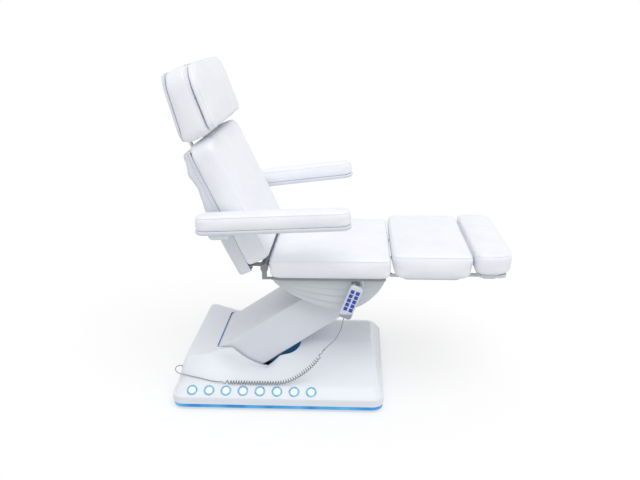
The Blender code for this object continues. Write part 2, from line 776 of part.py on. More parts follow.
button_profile = [
    (0.0, BUTTON_DOME),
    (0.45 * BUTTON_RADIUS, 0.85 * BUTTON_DOME),
    (0.80 * BUTTON_RADIUS, 0.50 * BUTTON_DOME),
    (BUTTON_RADIUS, 0.0),
    (BUTTON_RADIUS, -BUTTON_SHANK),
    (0.0, -BUTTON_SHANK),
]


def turned(profile, sides):
    """A turned shape round the z axis, from its profile of (radius, height) points."""
    sections = []
    for radius, height in profile[1:-1]:
        angles = [2 * math.pi * k / sides for k in range(sides)]
        sections.append([(radius * math.cos(a), radius * math.sin(a), height) for a in angles])
    bm = loft(sections, False, False)
    for end, rim in ((profile[0], sections[0]), (profile[-1], sections[-1])):
        tip = bm.verts.new((0.0, 0.0, end[1]))
        edge = []
        for vert in bm.verts:
            if any((vert.co - Vector(point)).length < 1e-7 for point in rim):
                edge.append(vert)
        for k in range(sides):
            bm.faces.new((edge[k], edge[(k + 1) % sides], tip))
    return bm


for index in range(BUTTON_COUNT):
    at_button = console_frame @ Matrix.Translation((BUTTON_FIRST_X + BUTTON_PITCH * index, 0.0, 0.0))
    low = at_button @ Vector((0.0, 0.0, bar_bottom + LIGHT_BAR_THICK / 2))
    high = at_button @ Vector((0.0, 0.0, RING_PROUD))
    deep = at_button @ Vector((0.0, 0.0, bar_bottom - LIGHT_BAR_THICK))
    over = at_button @ Vector((0.0, 0.0, RING_PROUD + COVER_WALL))
    boolean(base_cover, rod(low, over, ring_outer + GAP), "base", "DIFFERENCE")
    boolean(ring_lights, rod(low, high, ring_outer), "base", "UNION")
    boolean(ring_lights, rod(deep, over, ring_inner), "base", "DIFFERENCE")
    button_name = "foot_button_" + str(index + 1)
    body(button_name, "base", tuple(at_button.translation))
    piece(button_name, moved(turned(button_profile, SIDES), at_button), button_name, button_plastic)

# Lift drive in the base: a tube with its gear housing, and a rod that pulls the arm's lever
drive_z = ARM_Z - LEVER_LENGTH * (1 + math.cos(math.radians(LIFT_SWING / 2))) / 2
tube_end_x = LIFT_TUBE_START + LIFT_TUBE_LENGTH
gear_low = (tube_end_x - GEAR_LENGTH, LIFT_DRIVE_Y - GEAR_WIDTH / 2, PLATE_Z + GAP)
gear_high = (tube_end_x, LIFT_DRIVE_Y + GEAR_WIDTH / 2, PLATE_Z + GEAR_HEIGHT)
lift_tube_foot = (tube_end_x - GEAR_LENGTH / 2, LIFT_DRIVE_Y, drive_z)
lift_tube = rod((LIFT_TUBE_START, LIFT_DRIVE_Y, drive_z), lift_tube_foot, DRIVE_TUBE)
lift_shapes = [lift_tube, box(gear_low, gear_high)]
lift_motor = assembly("lift_motor", lift_shapes, "base", motor_paint)
lever_rest = math.radians(-90 - LIFT_SWING / 2)
lever_tip = (ARM_X + LEVER_LENGTH * math.cos(lever_rest), ARM_Z + LEVER_LENGTH * math.sin(lever_rest))
lift_rod_end = lever_tip[0] + LIFT_ROD_LENGTH
lift_bore_end = lift_rod_end + 2 * LEVER_LENGTH * math.sin(math.radians(LIFT_SWING / 2)) + SIDE_PLAY
lift_bore_start = (LIFT_TUBE_START - DRIVE_ROD, LIFT_DRIVE_Y, drive_z)
lift_bore = rod(lift_bore_start, (lift_bore_end, LIFT_DRIVE_Y, drive_z), bore(DRIVE_ROD))
boolean(lift_motor, lift_bore, "base", "DIFFERENCE")
eye_half = DRIVE_ROD + GAP
lift_rod_shapes = [
    rod((lever_tip[0], LIFT_DRIVE_Y, drive_z), (lift_rod_end, LIFT_DRIVE_Y, drive_z), DRIVE_ROD),
    cross_rod(lever_tip[0], drive_z, LIFT_DRIVE_Y - eye_half, LIFT_DRIVE_Y + eye_half, LEVER_EYE),
]
assembly("lift_rod", lift_rod_shapes, "lift_rod", bright_steel)

# Lift arm frame: two bars on a lower and an upper shaft, a cross tube and the lever
arm_shapes = [cross_rod(ARM_X, ARM_Z, -shaft_end, shaft_end, SHAFT_RADIUS)]
arm_shapes.append(cross_rod(UPPER_X, UPPER_Z, -shaft_end, shaft_end, SHAFT_RADIUS))
for side in (-1, 1):
    bar_y = side * BAR_SPREAD / 2
    outline = bar_outline((ARM_X, ARM_Z), (UPPER_X, UPPER_Z), BAR_DEPTH / 2)
    arm_shapes.append(prism(outline, bar_y - CHEEK_THICK / 2, bar_y + CHEEK_THICK / 2))
brace = arm_frame @ Vector((ARM_LENGTH / 2, 0.0, -BAR_DEPTH / 4))
arm_shapes.append(cross_rod(brace.x, brace.z, -BAR_SPREAD / 2, BAR_SPREAD / 2, SHAFT_RADIUS))
lever_y = LIFT_DRIVE_Y + eye_half + SIDE_PLAY
lever_outline = bar_outline((ARM_X, ARM_Z), lever_tip, LEVER_EYE)
arm_shapes.append(prism(lever_outline, lever_y, lever_y + LEVER_THICK))
assembly("lift_arm_frame", arm_shapes, "lift_arm", frame_steel)


# Lift arm cover: a round-ended box, open underneath where the lever and the link's lugs pass
def arm_block(inset):
    """The arm's round-ended block with its heel and its rims rounded, drawn in by inset."""
    half = ARM_WIDTH / 2 - inset
    end_round = ARM_DEPTH / 2 - inset
    heel = ARM_HEEL - inset
    heel_end = 90 + ARM_HEEL_TURN - math.degrees(inset / heel)
    top = ARM_TOP - inset
    meet = (0.0, top)
    for _ in range(9):
        meet = (math.sqrt(heel**2 - meet[1] ** 2), top - (top - end_round) * meet[0] / ARM_LENGTH)
    heel_start = math.degrees(math.atan2(meet[1], meet[0]))
    outline = arc((ARM_LENGTH, 0.0), end_round, -90, 90, 8)
    outline += arc((0.0, 0.0), heel, heel_start, heel_end, 5)
    outline += arc((0.0, 0.0), end_round, heel_end, 270, 8)
    block = moved(prism(outline, -half, half), arm_frame)
    rims = [edge for edge in block.edges if abs(edge.verts[0].co.y - edge.verts[1].co.y) < half]
    bmesh.ops.bevel(block, geom=rims, offset=ARM_EDGE - inset, segments=2, profile=0.5, affect="EDGES")
    return block


arm_cover = piece("lift_arm_cover", arm_block(0.0), "lift_arm", arm_plastic)
boolean(arm_cover, arm_block(ARM_WALL), "lift_arm", "DIFFERENCE")
open_half = ARM_WIDTH / 2 - ARM_RIM
under_cut = box((-ARM_DEPTH, -open_half, -ARM_DEPTH), (0.4 * ARM_LENGTH, open_half, -ARM_WALL))
boolean(arm_cover, moved(under_cut, arm_frame), "lift_arm", "DIFFERENCE")
lug_half = lug_inner + LUG_THICK + 2 * SIDE_PLAY
top_low = (ARM_LENGTH - LUG_RADIUS, -lug_half, ARM_WALL)
top_cut = box(top_low, (ARM_LENGTH + ARM_DEPTH, lug_half, ARM_DEPTH))
boolean(arm_cover, moved(top_cut, arm_frame), "lift_arm", "DIFFERENCE")
for hole_x, hole_z in ((ARM_X, ARM_Z), (UPPER_X, UPPER_Z)):
    hole = cross_rod(hole_x, hole_z, -ARM_WIDTH, ARM_WIDTH, SHAFT_RADIUS + GAP)
    boolean(arm_cover, hole, "lift_arm", "DIFFERENCE")

# Levelling link: a bar parallel to the arm that keeps the carrier upright
link_low = (ARM_X, ARM_Z + LINK_RISE)
link_high = (UPPER_X, UPPER_Z + LINK_RISE)
link_y = (-LINK_THICK / 2, LINK_THICK / 2)
link_shapes = [prism(bar_outline(link_low, link_high, LINK_DEPTH / 2), *link_y)]
eye_face = LINK_THICK / 2 + RUN
for eye in (link_low, link_high):
    link_shapes.append(cross_rod(*eye, -eye_face, eye_face, LINK_EYE))
level_link = assembly("level_link", link_shapes, "level_link", frame_steel)
for eye in (link_low, link_high):
    eye_cut = cross_rod(*eye, -LINK_THICK, LINK_THICK, bore(LINK_PIN))
    boolean(level_link, eye_cut, "level_link", "DIFFERENCE")

# Carrier: a plate with cheeks on the upper shaft, lugs for the link and lugs for the seat's tilt
carrier_top = CARRIER_Z + CARRIER_PLATE
carrier_half = CHEEK_Y + CHEEK_THICK
carrier_low = (CARRIER_HEAD_X, -carrier_half, CARRIER_Z)
carrier_shapes = [box(carrier_low, (CARRIER_FOOT_X, carrier_half, carrier_top))]
weld = CARRIER_PLATE / 2
for side in (-1, 1):
    cheek_y = sorted((side * CHEEK_Y, side * (CHEEK_Y + CHEEK_THICK)))
    cheek = arc((UPPER_X, UPPER_Z), CARRIER_CHEEK, 180, 360, 8)
    cheek += [(UPPER_X + CARRIER_FOOT / 2, CARRIER_Z + weld)]
    cheek += [(UPPER_X - CARRIER_FOOT / 2, CARRIER_Z + weld)]
    carrier_shapes.append(prism(cheek, *cheek_y))
    lug_y = sorted((side * lug_inner, side * (lug_inner + LUG_THICK)))
    lug = arc((UPPER_X, UPPER_Z + LINK_RISE), LUG_RADIUS, 180, 360, 6)
    lug += [(UPPER_X + LUG_RADIUS, CARRIER_Z + weld), (UPPER_X - LUG_RADIUS, CARRIER_Z + weld)]
    carrier_shapes.append(prism(lug, *lug_y))
    ear_y = sorted((side * TILT_SPREAD / 2, side * (TILT_SPREAD / 2 + LUG_THICK)))
    ear = [(TILT_X - TILT_LUG, CARRIER_Z + weld), (TILT_X + TILT_LUG, CARRIER_Z + weld)]
    ear += arc((TILT_X, TILT_Z), TILT_LUG, 0, 180, 6)
    carrier_shapes.append(prism(ear, *ear_y))
carrier_shapes.append(cross_rod(UPPER_X, UPPER_Z + LINK_RISE, -pin_end, pin_end, LINK_PIN))
carrier = assembly("seat_carrier", carrier_shapes, "carrier", frame_steel)
upper_cut = cross_rod(UPPER_X, UPPER_Z, -shaft_end - CHEEK_THICK, shaft_end + CHEEK_THICK, shaft_hole)
boolean(carrier, upper_cut, "carrier", "DIFFERENCE")
tilt_reach = TILT_SPREAD / 2 + LUG_THICK + SIDE_PLAY
ear_cut = cross_rod(TILT_X, TILT_Z, -tilt_reach, tilt_reach, bore(HINGE_PIN))
boolean(carrier, ear_cut, "carrier", "DIFFERENCE")
tube_seat = TILT_TUBE + GAP
tube_top = carrier_top + 2 * CARRIER_PLATE
tube_low = tube_top - TILT_TUBE_LENGTH
tube_head = (TILT_DRIVE_X, TILT_DRIVE_Y, tube_top)
tube_cut = rod((TILT_DRIVE_X, TILT_DRIVE_Y, CARRIER_Z - weld), tube_head, tube_seat)
boolean(carrier, tube_cut, "carrier", "DIFFERENCE")

# Tilt drive: a tube through the carrier, and a rod that lifts the seat's foot end
tilt_tube = rod((TILT_DRIVE_X, TILT_DRIVE_Y, tube_low), tube_head, TILT_TUBE)
tilt_motor = piece("tilt_motor", tilt_tube, "carrier", motor_paint)
tilt_rod_low = tube_low + ARM_WALL
tilt_bore_low = (TILT_DRIVE_X, TILT_DRIVE_Y, tilt_rod_low - GAP)
tilt_bore = rod(tilt_bore_low, (TILT_DRIVE_X, TILT_DRIVE_Y, SEAT_Z), bore(TILT_ROD))
boolean(tilt_motor, tilt_bore, "carrier", "DIFFERENCE")
tilt_rod_top = (TILT_DRIVE_X, TILT_DRIVE_Y, SEAT_PANEL_Z - GAP)
tilt_bar = rod((TILT_DRIVE_X, TILT_DRIVE_Y, tilt_rod_low), tilt_rod_top, TILT_ROD)
piece("tilt_rod", tilt_bar, "tilt_rod", bright_steel)


# Under-seat shroud: a stepped bowl, open above and where the arm swings
def shroud_outline(share, inset):
    """The bowl's side outline, of this share of its full depth, with its top just under the seat's panel."""
    top = SEAT_PANEL_Z - SHROUD_SEAT_GAP
    low = top - SHROUD_DEPTH * share + inset
    head = SHROUD_HEAD_X + inset
    foot = SHROUD_FOOT_X - inset
    points = []
    for k in range(SHROUD_POINTS + 1):
        across = k / SHROUD_POINTS
        x = head + (foot - head) * across
        if x < SHROUD_LOW_X:
            reach = (SHROUD_LOW_X - x) / (SHROUD_LOW_X - head)
            fall = (1.0 - reach**SHROUD_HEAD_CURVE) ** SHROUD_HEAD_FALL
        else:
            reach = (x - SHROUD_LOW_X) / (foot - SHROUD_LOW_X)
            fall = (1.0 - reach**SHROUD_FOOT_CURVE) ** SHROUD_FOOT_FALL
        points.append((x, top - (top - low) * fall))
    return points


shroud_half = SHROUD_WIDTH / 2
bowl = prism(shroud_outline(1.0, 0.0), -shroud_half, shroud_half)
shroud = piece("seat_shroud", bowl, "carrier", shroud_plastic)
for step_index in range(1, SHROUD_STEPS + 1):
    wide = shroud_half + SHROUD_STEP * step_index
    stepped = prism(shroud_outline(1.0 - SHROUD_STEP_SHARE * step_index, 0.0), -wide, wide)
    boolean(shroud, stepped, "carrier", "UNION")
hollow_half = shroud_half - SHROUD_WALL
hollow = prism(shroud_outline(1.0, SHROUD_WALL), -hollow_half, hollow_half)
boolean(shroud, moved(hollow, Matrix.Translation((0.0, 0.0, SHROUD_WALL / 4))), "carrier", "DIFFERENCE")
arm_pass = carrier_half + OPENING_PLAY
arm_foot_x = UPPER_X + ARM_DEPTH / 2 + OPENING_PLAY
shroud_low = (SHROUD_HEAD_X - ARM_WALL, -arm_pass, SEAT_PANEL_Z - 2 * SHROUD_DEPTH)
shroud_high = (arm_foot_x, arm_pass, SEAT_PANEL_Z + PANEL_THICK)
boolean(shroud, box(shroud_low, shroud_high), "carrier", "DIFFERENCE")
leg_drive_y = UNDER_DRIVE_SPREAD / 2
notch_half = 2 * UNDER_DRIVE_TUBE
notch_low = (CARRIER_FOOT_X, leg_drive_y - notch_half, UNDER_DRIVE_Z - 2 * UNDER_DRIVE_TUBE)
notch_high = (SHROUD_FOOT_X + ARM_WALL, leg_drive_y + notch_half, SEAT_PANEL_Z + PANEL_THICK)
boolean(shroud, box(notch_low, notch_high), "carrier", "DIFFERENCE")

# Seat: panel with tilt brackets and hinge lugs, cushion, and the back and leg drives under the panel
panel_half = BED_WIDTH / 2 - PANEL_INSET
panel_length = SEAT_LENGTH - 2 * PANEL_INSET
panel_middle = ((SEAT_HEAD_X + SEAT_FOOT_X) / 2, 0.0)
seat_shapes = [slab(panel_length, 2 * panel_half, SEAT_CORNER, SEAT_PANEL_Z, SEAT_Z, panel_middle)]
panel_weld = SEAT_PANEL_Z + PANEL_THICK / 2
panel_head_x = panel_middle[0] - panel_length / 2
panel_foot_x = panel_middle[0] + panel_length / 2
bracket_inner = TILT_SPREAD / 2 + LUG_THICK + SIDE_PLAY
hinge_inner = HINGE_SPREAD / 2
for side in (-1, 1):
    bracket_y = sorted((side * bracket_inner, side * (bracket_inner + LUG_THICK)))
    bracket = arc((TILT_X, TILT_Z), TILT_LUG, 180, 360, 6)
    bracket += [(TILT_X + TILT_LUG, panel_weld), (TILT_X - TILT_LUG, panel_weld)]
    seat_shapes.append(prism(bracket, *bracket_y))
    pin_y = sorted((side * (TILT_SPREAD / 2 - SIDE_PLAY), side * (bracket_inner + LUG_THICK / 2)))
    seat_shapes.append(cross_rod(TILT_X, TILT_Z, *pin_y, HINGE_PIN))
    lug_y = sorted((side * (hinge_inner - LUG_THICK), side * hinge_inner))
    lug_half = HINGE_LUG * 0.6
    lug_shelf = SEAT_Z - PANEL_THICK / 4
    lug = [
        (HINGE_X - lug_half, HINGE_Z),
        (HINGE_X - lug_half, SEAT_PANEL_Z),
        (panel_head_x + HINGE_LUG * 0.3, SEAT_PANEL_Z + PANEL_THICK / 8),
        (panel_head_x + HINGE_LUG * 0.3, lug_shelf),
        (HINGE_X + lug_half, lug_shelf),
        (HINGE_X + lug_half, HINGE_Z),
    ]
    seat_shapes.append(prism(lug, *lug_y))
    seat_shapes.append(cross_rod(HINGE_X, HINGE_Z, *lug_y, HINGE_LUG))
    leg_lug_y = sorted((side * LEG_LUG_SPREAD / 2, side * (LEG_LUG_SPREAD / 2 - LUG_THICK)))
    leg_lug = bar_outline((panel_foot_x - LEG_LUG, LEG_Z), (LEG_X, LEG_Z), LEG_LUG * 0.55)
    seat_shapes.append(prism(leg_lug, *leg_lug_y))
seat_frame = assembly("seat_frame", seat_shapes, "seat", frame_steel)
hinge_bore = cross_rod(HINGE_X, HINGE_Z, -BED_WIDTH, BED_WIDTH, bore(HINGE_PIN))
boolean(seat_frame, hinge_bore, "seat", "DIFFERENCE")
leg_pin = LEG_LUG * 0.32
boolean(seat_frame, cross_rod(LEG_X, LEG_Z, -BED_WIDTH, BED_WIDTH, bore(leg_pin)), "seat", "DIFFERENCE")
seat_pad = cushion(SEAT_LENGTH, BED_WIDTH, SEAT_THICK, SEAT_CROWN, SEAT_CORNER, SEAT_CORNER, tuck=SEAT_TUCK)
seat_place = Matrix.Translation((*panel_middle, SEAT_Z + GAP))
piece("seat_cushion", moved(seat_pad, seat_place), "seat", leather)

under_tubes = (
    ("back_motor", -1, UNDER_TUBE_HEAD_X, UNDER_TUBE_HEAD_X - UNDER_DRIVE_TUBE),
    ("leg_motor", 1, UNDER_TUBE_FOOT_X, UNDER_TUBE_FOOT_X + UNDER_DRIVE_TUBE),
)
under_blind = (UNDER_TUBE_HEAD_X + UNDER_TUBE_FOOT_X) / 2
for tube_name, side, mouth_x, bore_mouth_x in under_tubes:
    tube_y = side * UNDER_DRIVE_SPREAD / 2
    ends = ((UNDER_TUBE_HEAD_X, tube_y, UNDER_DRIVE_Z), (UNDER_TUBE_FOOT_X, tube_y, UNDER_DRIVE_Z))
    tube = piece(tube_name, rod(*ends, UNDER_DRIVE_TUBE), "seat", motor_paint)
    blind_x = under_blind - side * (UNDER_TUBE_FOOT_X - UNDER_TUBE_HEAD_X) * UNDER_BORE_SHARE
    bore_ends = ((bore_mouth_x, tube_y, UNDER_DRIVE_Z), (blind_x, tube_y, UNDER_DRIVE_Z))
    tube_bore = rod(*bore_ends, bore(UNDER_DRIVE_ROD))
    boolean(tube, tube_bore, "seat", "DIFFERENCE")


# Back and leg rods: each ends in an eye beside the lever that it moves
def under_rod(name, side, tip_x, inner_x):
    """A rod along the bed with an eye at its tip."""
    rod_y = side * UNDER_DRIVE_SPREAD / 2
    half = UNDER_DRIVE_ROD + GAP
    shapes = [
        rod((inner_x, rod_y, UNDER_DRIVE_Z), (tip_x, rod_y, UNDER_DRIVE_Z), UNDER_DRIVE_ROD),
        cross_rod(tip_x, UNDER_DRIVE_Z, rod_y - half, rod_y + half, HINGE_TUBE),
    ]
    assembly(name, shapes, name, bright_steel)
    return rod_y - side * (half + SIDE_PLAY)


back_lever_turn = math.radians(-90 - BACK_SWING / 2)
back_tip_x = HINGE_X + BACK_LEVER * math.cos(back_lever_turn)
back_tip = (back_tip_x, HINGE_Z + BACK_LEVER * math.sin(back_lever_turn))
back_lever_y = under_rod("back_rod", -1, back_tip[0], under_blind - UNDER_ROD_INSET)
leg_lever_turn = math.radians(-90 + LEG_SWING / 2)
leg_tip_x = LEG_X + LEG_LEVER * math.cos(leg_lever_turn)
leg_tip = (leg_tip_x, LEG_Z + LEG_LEVER * math.sin(leg_lever_turn))
leg_lever_y = under_rod("leg_rod", 1, leg_tip[0], under_blind + UNDER_ROD_INSET)


# Back: frame on the hinge, moulded shell and cushion, built upright and leaned back
def leaned(bm):
    """From the back's own upright frame, with its front at +x, to its place on the bed."""
    return moved(bm, back_frame)


bar_front = -BACK_FRONT - SHELL_WALL
bar_back = bar_front - FRAME_BAR
bar_centre = (bar_front + bar_back) / 2
hinge_reach = hinge_inner - LUG_THICK - SIDE_PLAY
frame_parts = [cross_rod(0.0, 0.0, -hinge_reach, hinge_reach, HINGE_TUBE)]
frame_parts.append(cross_rod(0.0, 0.0, -hinge_inner, hinge_inner, HINGE_PIN))
for side in (-1, 1):
    bar_y = side * FRAME_BAR_SPREAD / 2
    low = (bar_back, bar_y - FRAME_BAR / 2, SHELL_START + 2 * SHELL_WALL)
    frame_parts.append(box(low, (bar_front, bar_y + FRAME_BAR / 2, FRAME_TOP)))
    web_top = (bar_centre, SHELL_START + 2 * SHELL_WALL + FRAME_BAR / 2)
    web = bar_outline((0.0, 0.0), web_top, FRAME_BAR * 0.4)
    frame_parts.append(prism(web, bar_y - LUG_THICK / 2, bar_y + LUG_THICK / 2))
    pin_y = sorted((bar_y, side * (BED_WIDTH / 2 + ARMREST_GAP + ARMREST_WIDTH / 2)))
    frame_parts.append(cross_rod(ARMREST_X, ARMREST_UP, *pin_y, ARMREST_PIN))
    sleeve_y = side * HEAD_ROD_SPREAD / 2
    sleeve_low = (HEAD_ROD_X, sleeve_y, FRAME_TOP - HEAD_SLEEVE_LENGTH)
    frame_parts.append(rod(sleeve_low, (HEAD_ROD_X, sleeve_y, FRAME_TOP), HEAD_ROD + SLEEVE_WALL))
rail_half = FRAME_BAR_SPREAD / 2 - FRAME_BAR / 4
for rail_z in (FRAME_TOP - HEAD_SLEEVE_LENGTH / 2, ARMREST_UP):
    low = (bar_back + RAIL_STEP, -rail_half, rail_z - FRAME_BAR / 2)
    high = (bar_front - RAIL_STEP, rail_half, rail_z + FRAME_BAR / 2)
    frame_parts.append(box(low, high))
frame_parts = [leaned(shape) for shape in frame_parts]
back_frame_part = assembly("back_frame", frame_parts, "back", frame_steel)
back_lever_outline = bar_outline((HINGE_X, HINGE_Z), back_tip, HINGE_TUBE * 0.6)
back_lever = prism(back_lever_outline, back_lever_y, back_lever_y + LUG_THICK)
boolean(back_frame_part, back_lever, "back", "UNION")
for side in (-1, 1):
    sleeve_y = side * HEAD_ROD_SPREAD / 2
    ends = ((HEAD_ROD_X, sleeve_y, SHELL_START), (HEAD_ROD_X, sleeve_y, FRAME_TOP + HEAD_ROD))
    boolean(back_frame_part, leaned(rod(*ends, bore(HEAD_ROD))), "back", "DIFFERENCE")

shell_front = -BACK_FRONT - GAP
shell_back = shell_front - SHELL_DEPTH
shell_top = SHELL_START + SHELL_LENGTH
shell_skin = box((shell_back, -SHELL_WIDTH / 2, SHELL_START), (shell_front, SHELL_WIDTH / 2, shell_top))
rear_edges = []
for edge in shell_skin.edges:
    if min(vert.co.x for vert in edge.verts) < shell_back + 1e-6:
        rear_edges.append(edge)
bmesh.ops.bevel(shell_skin, geom=rear_edges, offset=SHELL_ROUND, segments=3, profile=0.5, affect="EDGES")
opened(shell_skin, lambda middle: middle.x > shell_front - 1e-6)
back_shell = piece("back_shell", leaned(shell_skin), "back", white_plastic)
shell(back_shell, SHELL_WALL)
for side in (-1, 1):
    bar_y = side * FRAME_BAR_SPREAD / 2
    web_slot = box(
        (bar_back, bar_y - LUG_THICK, SHELL_START - SHELL_WALL),
        (0.0, bar_y + LUG_THICK, SHELL_START + 2 * SHELL_WALL),
    )
    boolean(back_shell, leaned(web_slot), "back", "DIFFERENCE")
    pin_y = sorted((side * (SHELL_WIDTH / 2 - 2 * SHELL_WALL), side * (SHELL_WIDTH / 2 + SHELL_WALL)))
    pin_cut = cross_rod(ARMREST_X, ARMREST_UP, *pin_y, bore(ARMREST_PIN))
    boolean(back_shell, leaned(pin_cut), "back", "DIFFERENCE")
    rod_y = side * HEAD_ROD_SPREAD / 2
    rod_ends = ((HEAD_ROD_X, rod_y, FRAME_TOP), (HEAD_ROD_X, rod_y, shell_top + SHELL_WALL))
    rod_cut = rod(*rod_ends, bore(HEAD_ROD))
    boolean(back_shell, leaned(rod_cut), "back", "DIFFERENCE")

# A cushion stands on its panel with its thickness towards the front and its length up the back
stand_up = Matrix.Rotation(math.radians(90), 4, "Y")
back_pad = cushion(BACK_LENGTH, BED_WIDTH, BACK_THICK, BACK_CROWN, BACK_CORNER, SEAT_CORNER)
back_rear = BACK_FRONT - BACK_THICK
back_place = Matrix.Translation((back_rear, 0.0, BACK_START + BACK_LENGTH / 2)) @ stand_up
piece("back_cushion", leaned(moved(back_pad, back_place)), "back", leather)

# Headrest: rods and cross bar, plate with clamps, boxed cushion and front pillow
head_shapes = []
for side in (-1, 1):
    rod_y = side * HEAD_ROD_SPREAD / 2
    ends = ((HEAD_ROD_X, rod_y, HEAD_PIVOT - HEAD_ROD_DEPTH), (HEAD_ROD_X, rod_y, HEAD_PIVOT))
    head_shapes.append(rod(*ends, HEAD_ROD))
bar_end = HEAD_ROD_SPREAD / 2 + HEAD_BAR
head_shapes.append(cross_rod(HEAD_ROD_X, HEAD_PIVOT, -bar_end, bar_end, HEAD_BAR))
assembly("head_rods", [leaned(shape) for shape in head_shapes], "head_slide", bright_steel)

head_start = BACK_START + BACK_LENGTH + HEAD_GAP
head_lean = math.tan(math.radians(HEAD_LEAN))
head_frame = Matrix.Translation((-HEAD_BACK, 0.0, head_start))
head_frame[0][2] = head_lean
head_plate_low = (-HEAD_PLATE, -BED_WIDTH / 2 + HEAD_PLATE_INSET, HEAD_PLATE_INSET)
head_plate_high = (-GAP, BED_WIDTH / 2 - HEAD_PLATE_INSET, HEAD_LENGTH)
plate_skin = box(head_plate_low, head_plate_high)
long_edges = []
for edge in plate_skin.edges:
    if abs(edge.verts[0].co.x - edge.verts[1].co.x) > HEAD_PLATE / 2:
        long_edges.append(edge)
bmesh.ops.bevel(plate_skin, geom=long_edges, offset=HEAD_CORNER, segments=4, profile=0.5, affect="EDGES")
head_plate = piece("head_plate", leaned(moved(plate_skin, head_frame)), "headrest", white_plastic)
clamp_radius = HEAD_BAR + SLEEVE_WALL
clamp_x = head_lean * (HEAD_PIVOT - head_start) - HEAD_BACK - HEAD_PLATE / 2
for side in (-1, 1):
    clamp_y = side * HEAD_CLAMP_SPREAD / 2
    clamp_ends = (clamp_y - HEAD_CLAMP_WIDTH / 2, clamp_y + HEAD_CLAMP_WIDTH / 2)
    clamp_outline = arc((HEAD_ROD_X, HEAD_PIVOT), clamp_radius, 90, 270, 8)
    clamp_outline += [(clamp_x, HEAD_PIVOT - clamp_radius), (clamp_x, HEAD_PIVOT + clamp_radius)]
    clamp = leaned(prism(clamp_outline, *clamp_ends))
    boolean(head_plate, clamp, "headrest", "UNION")
clamp_bore = cross_rod(HEAD_ROD_X, HEAD_PIVOT, -BED_WIDTH, BED_WIDTH, bore(HEAD_BAR))
boolean(head_plate, leaned(clamp_bore), "headrest", "DIFFERENCE")
head_pad = cushion(
    HEAD_LENGTH,
    BED_WIDTH,
    HEAD_THICK_HIGH,
    HEAD_CROWN,
    HEAD_CORNER,
    SEAT_CORNER,
    thick_foot=HEAD_THICK_LOW,
    edge=HEAD_EDGE,
)
head_place = head_frame @ Matrix.Translation((0.0, 0.0, HEAD_LENGTH / 2)) @ stand_up
piece("head_cushion", leaned(moved(head_pad, head_place)), "headrest", leather)
pillow_slope = math.atan2(HEAD_THICK_LOW - HEAD_THICK_HIGH, HEAD_LENGTH)
pillow_turn = Matrix.Rotation(-pillow_slope, 4, "Y")
pillow_length = HEAD_LENGTH - 2 * PILLOW_INSET
pillow_width = BED_WIDTH - 2 * PILLOW_INSET
pillow_base = (HEAD_THICK_LOW + HEAD_THICK_HIGH) / 2 + HEAD_CROWN + GAP
pillow_middle = Matrix.Translation((pillow_base, 0.0, HEAD_LENGTH / 2))
pillow_place = head_frame @ pillow_middle @ pillow_turn @ stand_up
pillow = cushion(pillow_length, pillow_width, PILLOW_THICK, PILLOW_CROWN, HEAD_CORNER, SEAT_CORNER)
piece("head_pillow", leaned(moved(pillow, pillow_place)), "headrest", leather)


# Armrests: a tray with its hub on the back's pin, and a pad
def armrest(name, side, tilt):
    """One armrest, built level from its hub and tilted about it."""
    middle_y = side * (BED_WIDTH / 2 + ARMREST_GAP + ARMREST_WIDTH / 2)
    middle_x = ARMREST_LENGTH / 2 - ARMREST_REAR
    place = Matrix.Translation(armrest_pivot) @ Matrix.Rotation(-math.radians(tilt), 4, "Y")
    place = place @ Matrix.Translation((middle_x, middle_y, 0.0))
    outline = ring(ARMREST_LENGTH, ARMREST_WIDTH, ARMREST_CORNER, ARMREST_CORNER, 4, 3, 1)
    waist_z = TRAY_BOTTOM + TRAY_BULGE * (TRAY_TOP - TRAY_BOTTOM)
    tray_rings = [
        [(x * TRAY_SOLE[0], y * TRAY_SOLE[1], TRAY_BOTTOM) for x, y in outline],
        [(x * TRAY_WAIST[0], y * TRAY_WAIST[1], waist_z) for x, y in outline],
        [(x, y, TRAY_TOP) for x, y in outline],
    ]
    tray = piece(name + "_tray", moved(loft(tray_rings), place), name, white_plastic)
    hub_inner = BED_WIDTH / 2 + ARMREST_GAP
    hub_y = sorted((side * hub_inner, side * (BED_WIDTH / 2 + ARMREST_WIDTH)))
    pivot = armrest_pivot
    turn = Matrix.Rotation(-math.radians(tilt), 4, "Y")
    hub_outline = []
    for end, start_turn in ((-1, 180 + tilt), (1, 270 + tilt)):
        corner = pivot + turn @ Vector((end * ARMREST_HUB_SPREAD / 2, 0.0, 0.0))
        hub_outline += arc((corner.x, corner.z), ARMREST_HUB, start_turn, start_turn + 90, 5)
    hub_rise = (TRAY_BOTTOM + TRAY_TOP) / 2
    for end in (1, -1):
        reach = end * (ARMREST_HUB + ARMREST_HUB_SPREAD / 2)
        corner = pivot + turn @ Vector((reach, 0.0, hub_rise))
        hub_outline.append((corner.x, corner.z))
    boolean(tray, prism(hub_outline, *hub_y), name, "UNION")
    pin_end_y = side * (hub_inner + ARMREST_WIDTH / 2 + SIDE_PLAY)
    pin_y = sorted((side * BED_WIDTH / 2, pin_end_y))
    boolean(tray, cross_rod(pivot.x, pivot.z, *pin_y, bore(ARMREST_PIN)), name, "DIFFERENCE")
    pad_sizes = (ARMREST_LENGTH, ARMREST_WIDTH, ARM_PAD_THICK, ARM_PAD_CROWN)
    pad = cushion(*pad_sizes, ARMREST_CORNER, ARMREST_CORNER, 3, 0.0)
    pad_place = place @ Matrix.Translation((0.0, 0.0, TRAY_TOP + GAP))
    piece(name + "_pad", moved(pad, pad_place), name, leather)


armrest("armrest_near", -1, NEAR_ARMREST_TILT)
armrest("armrest_far", 1, FAR_ARMREST_TILT)

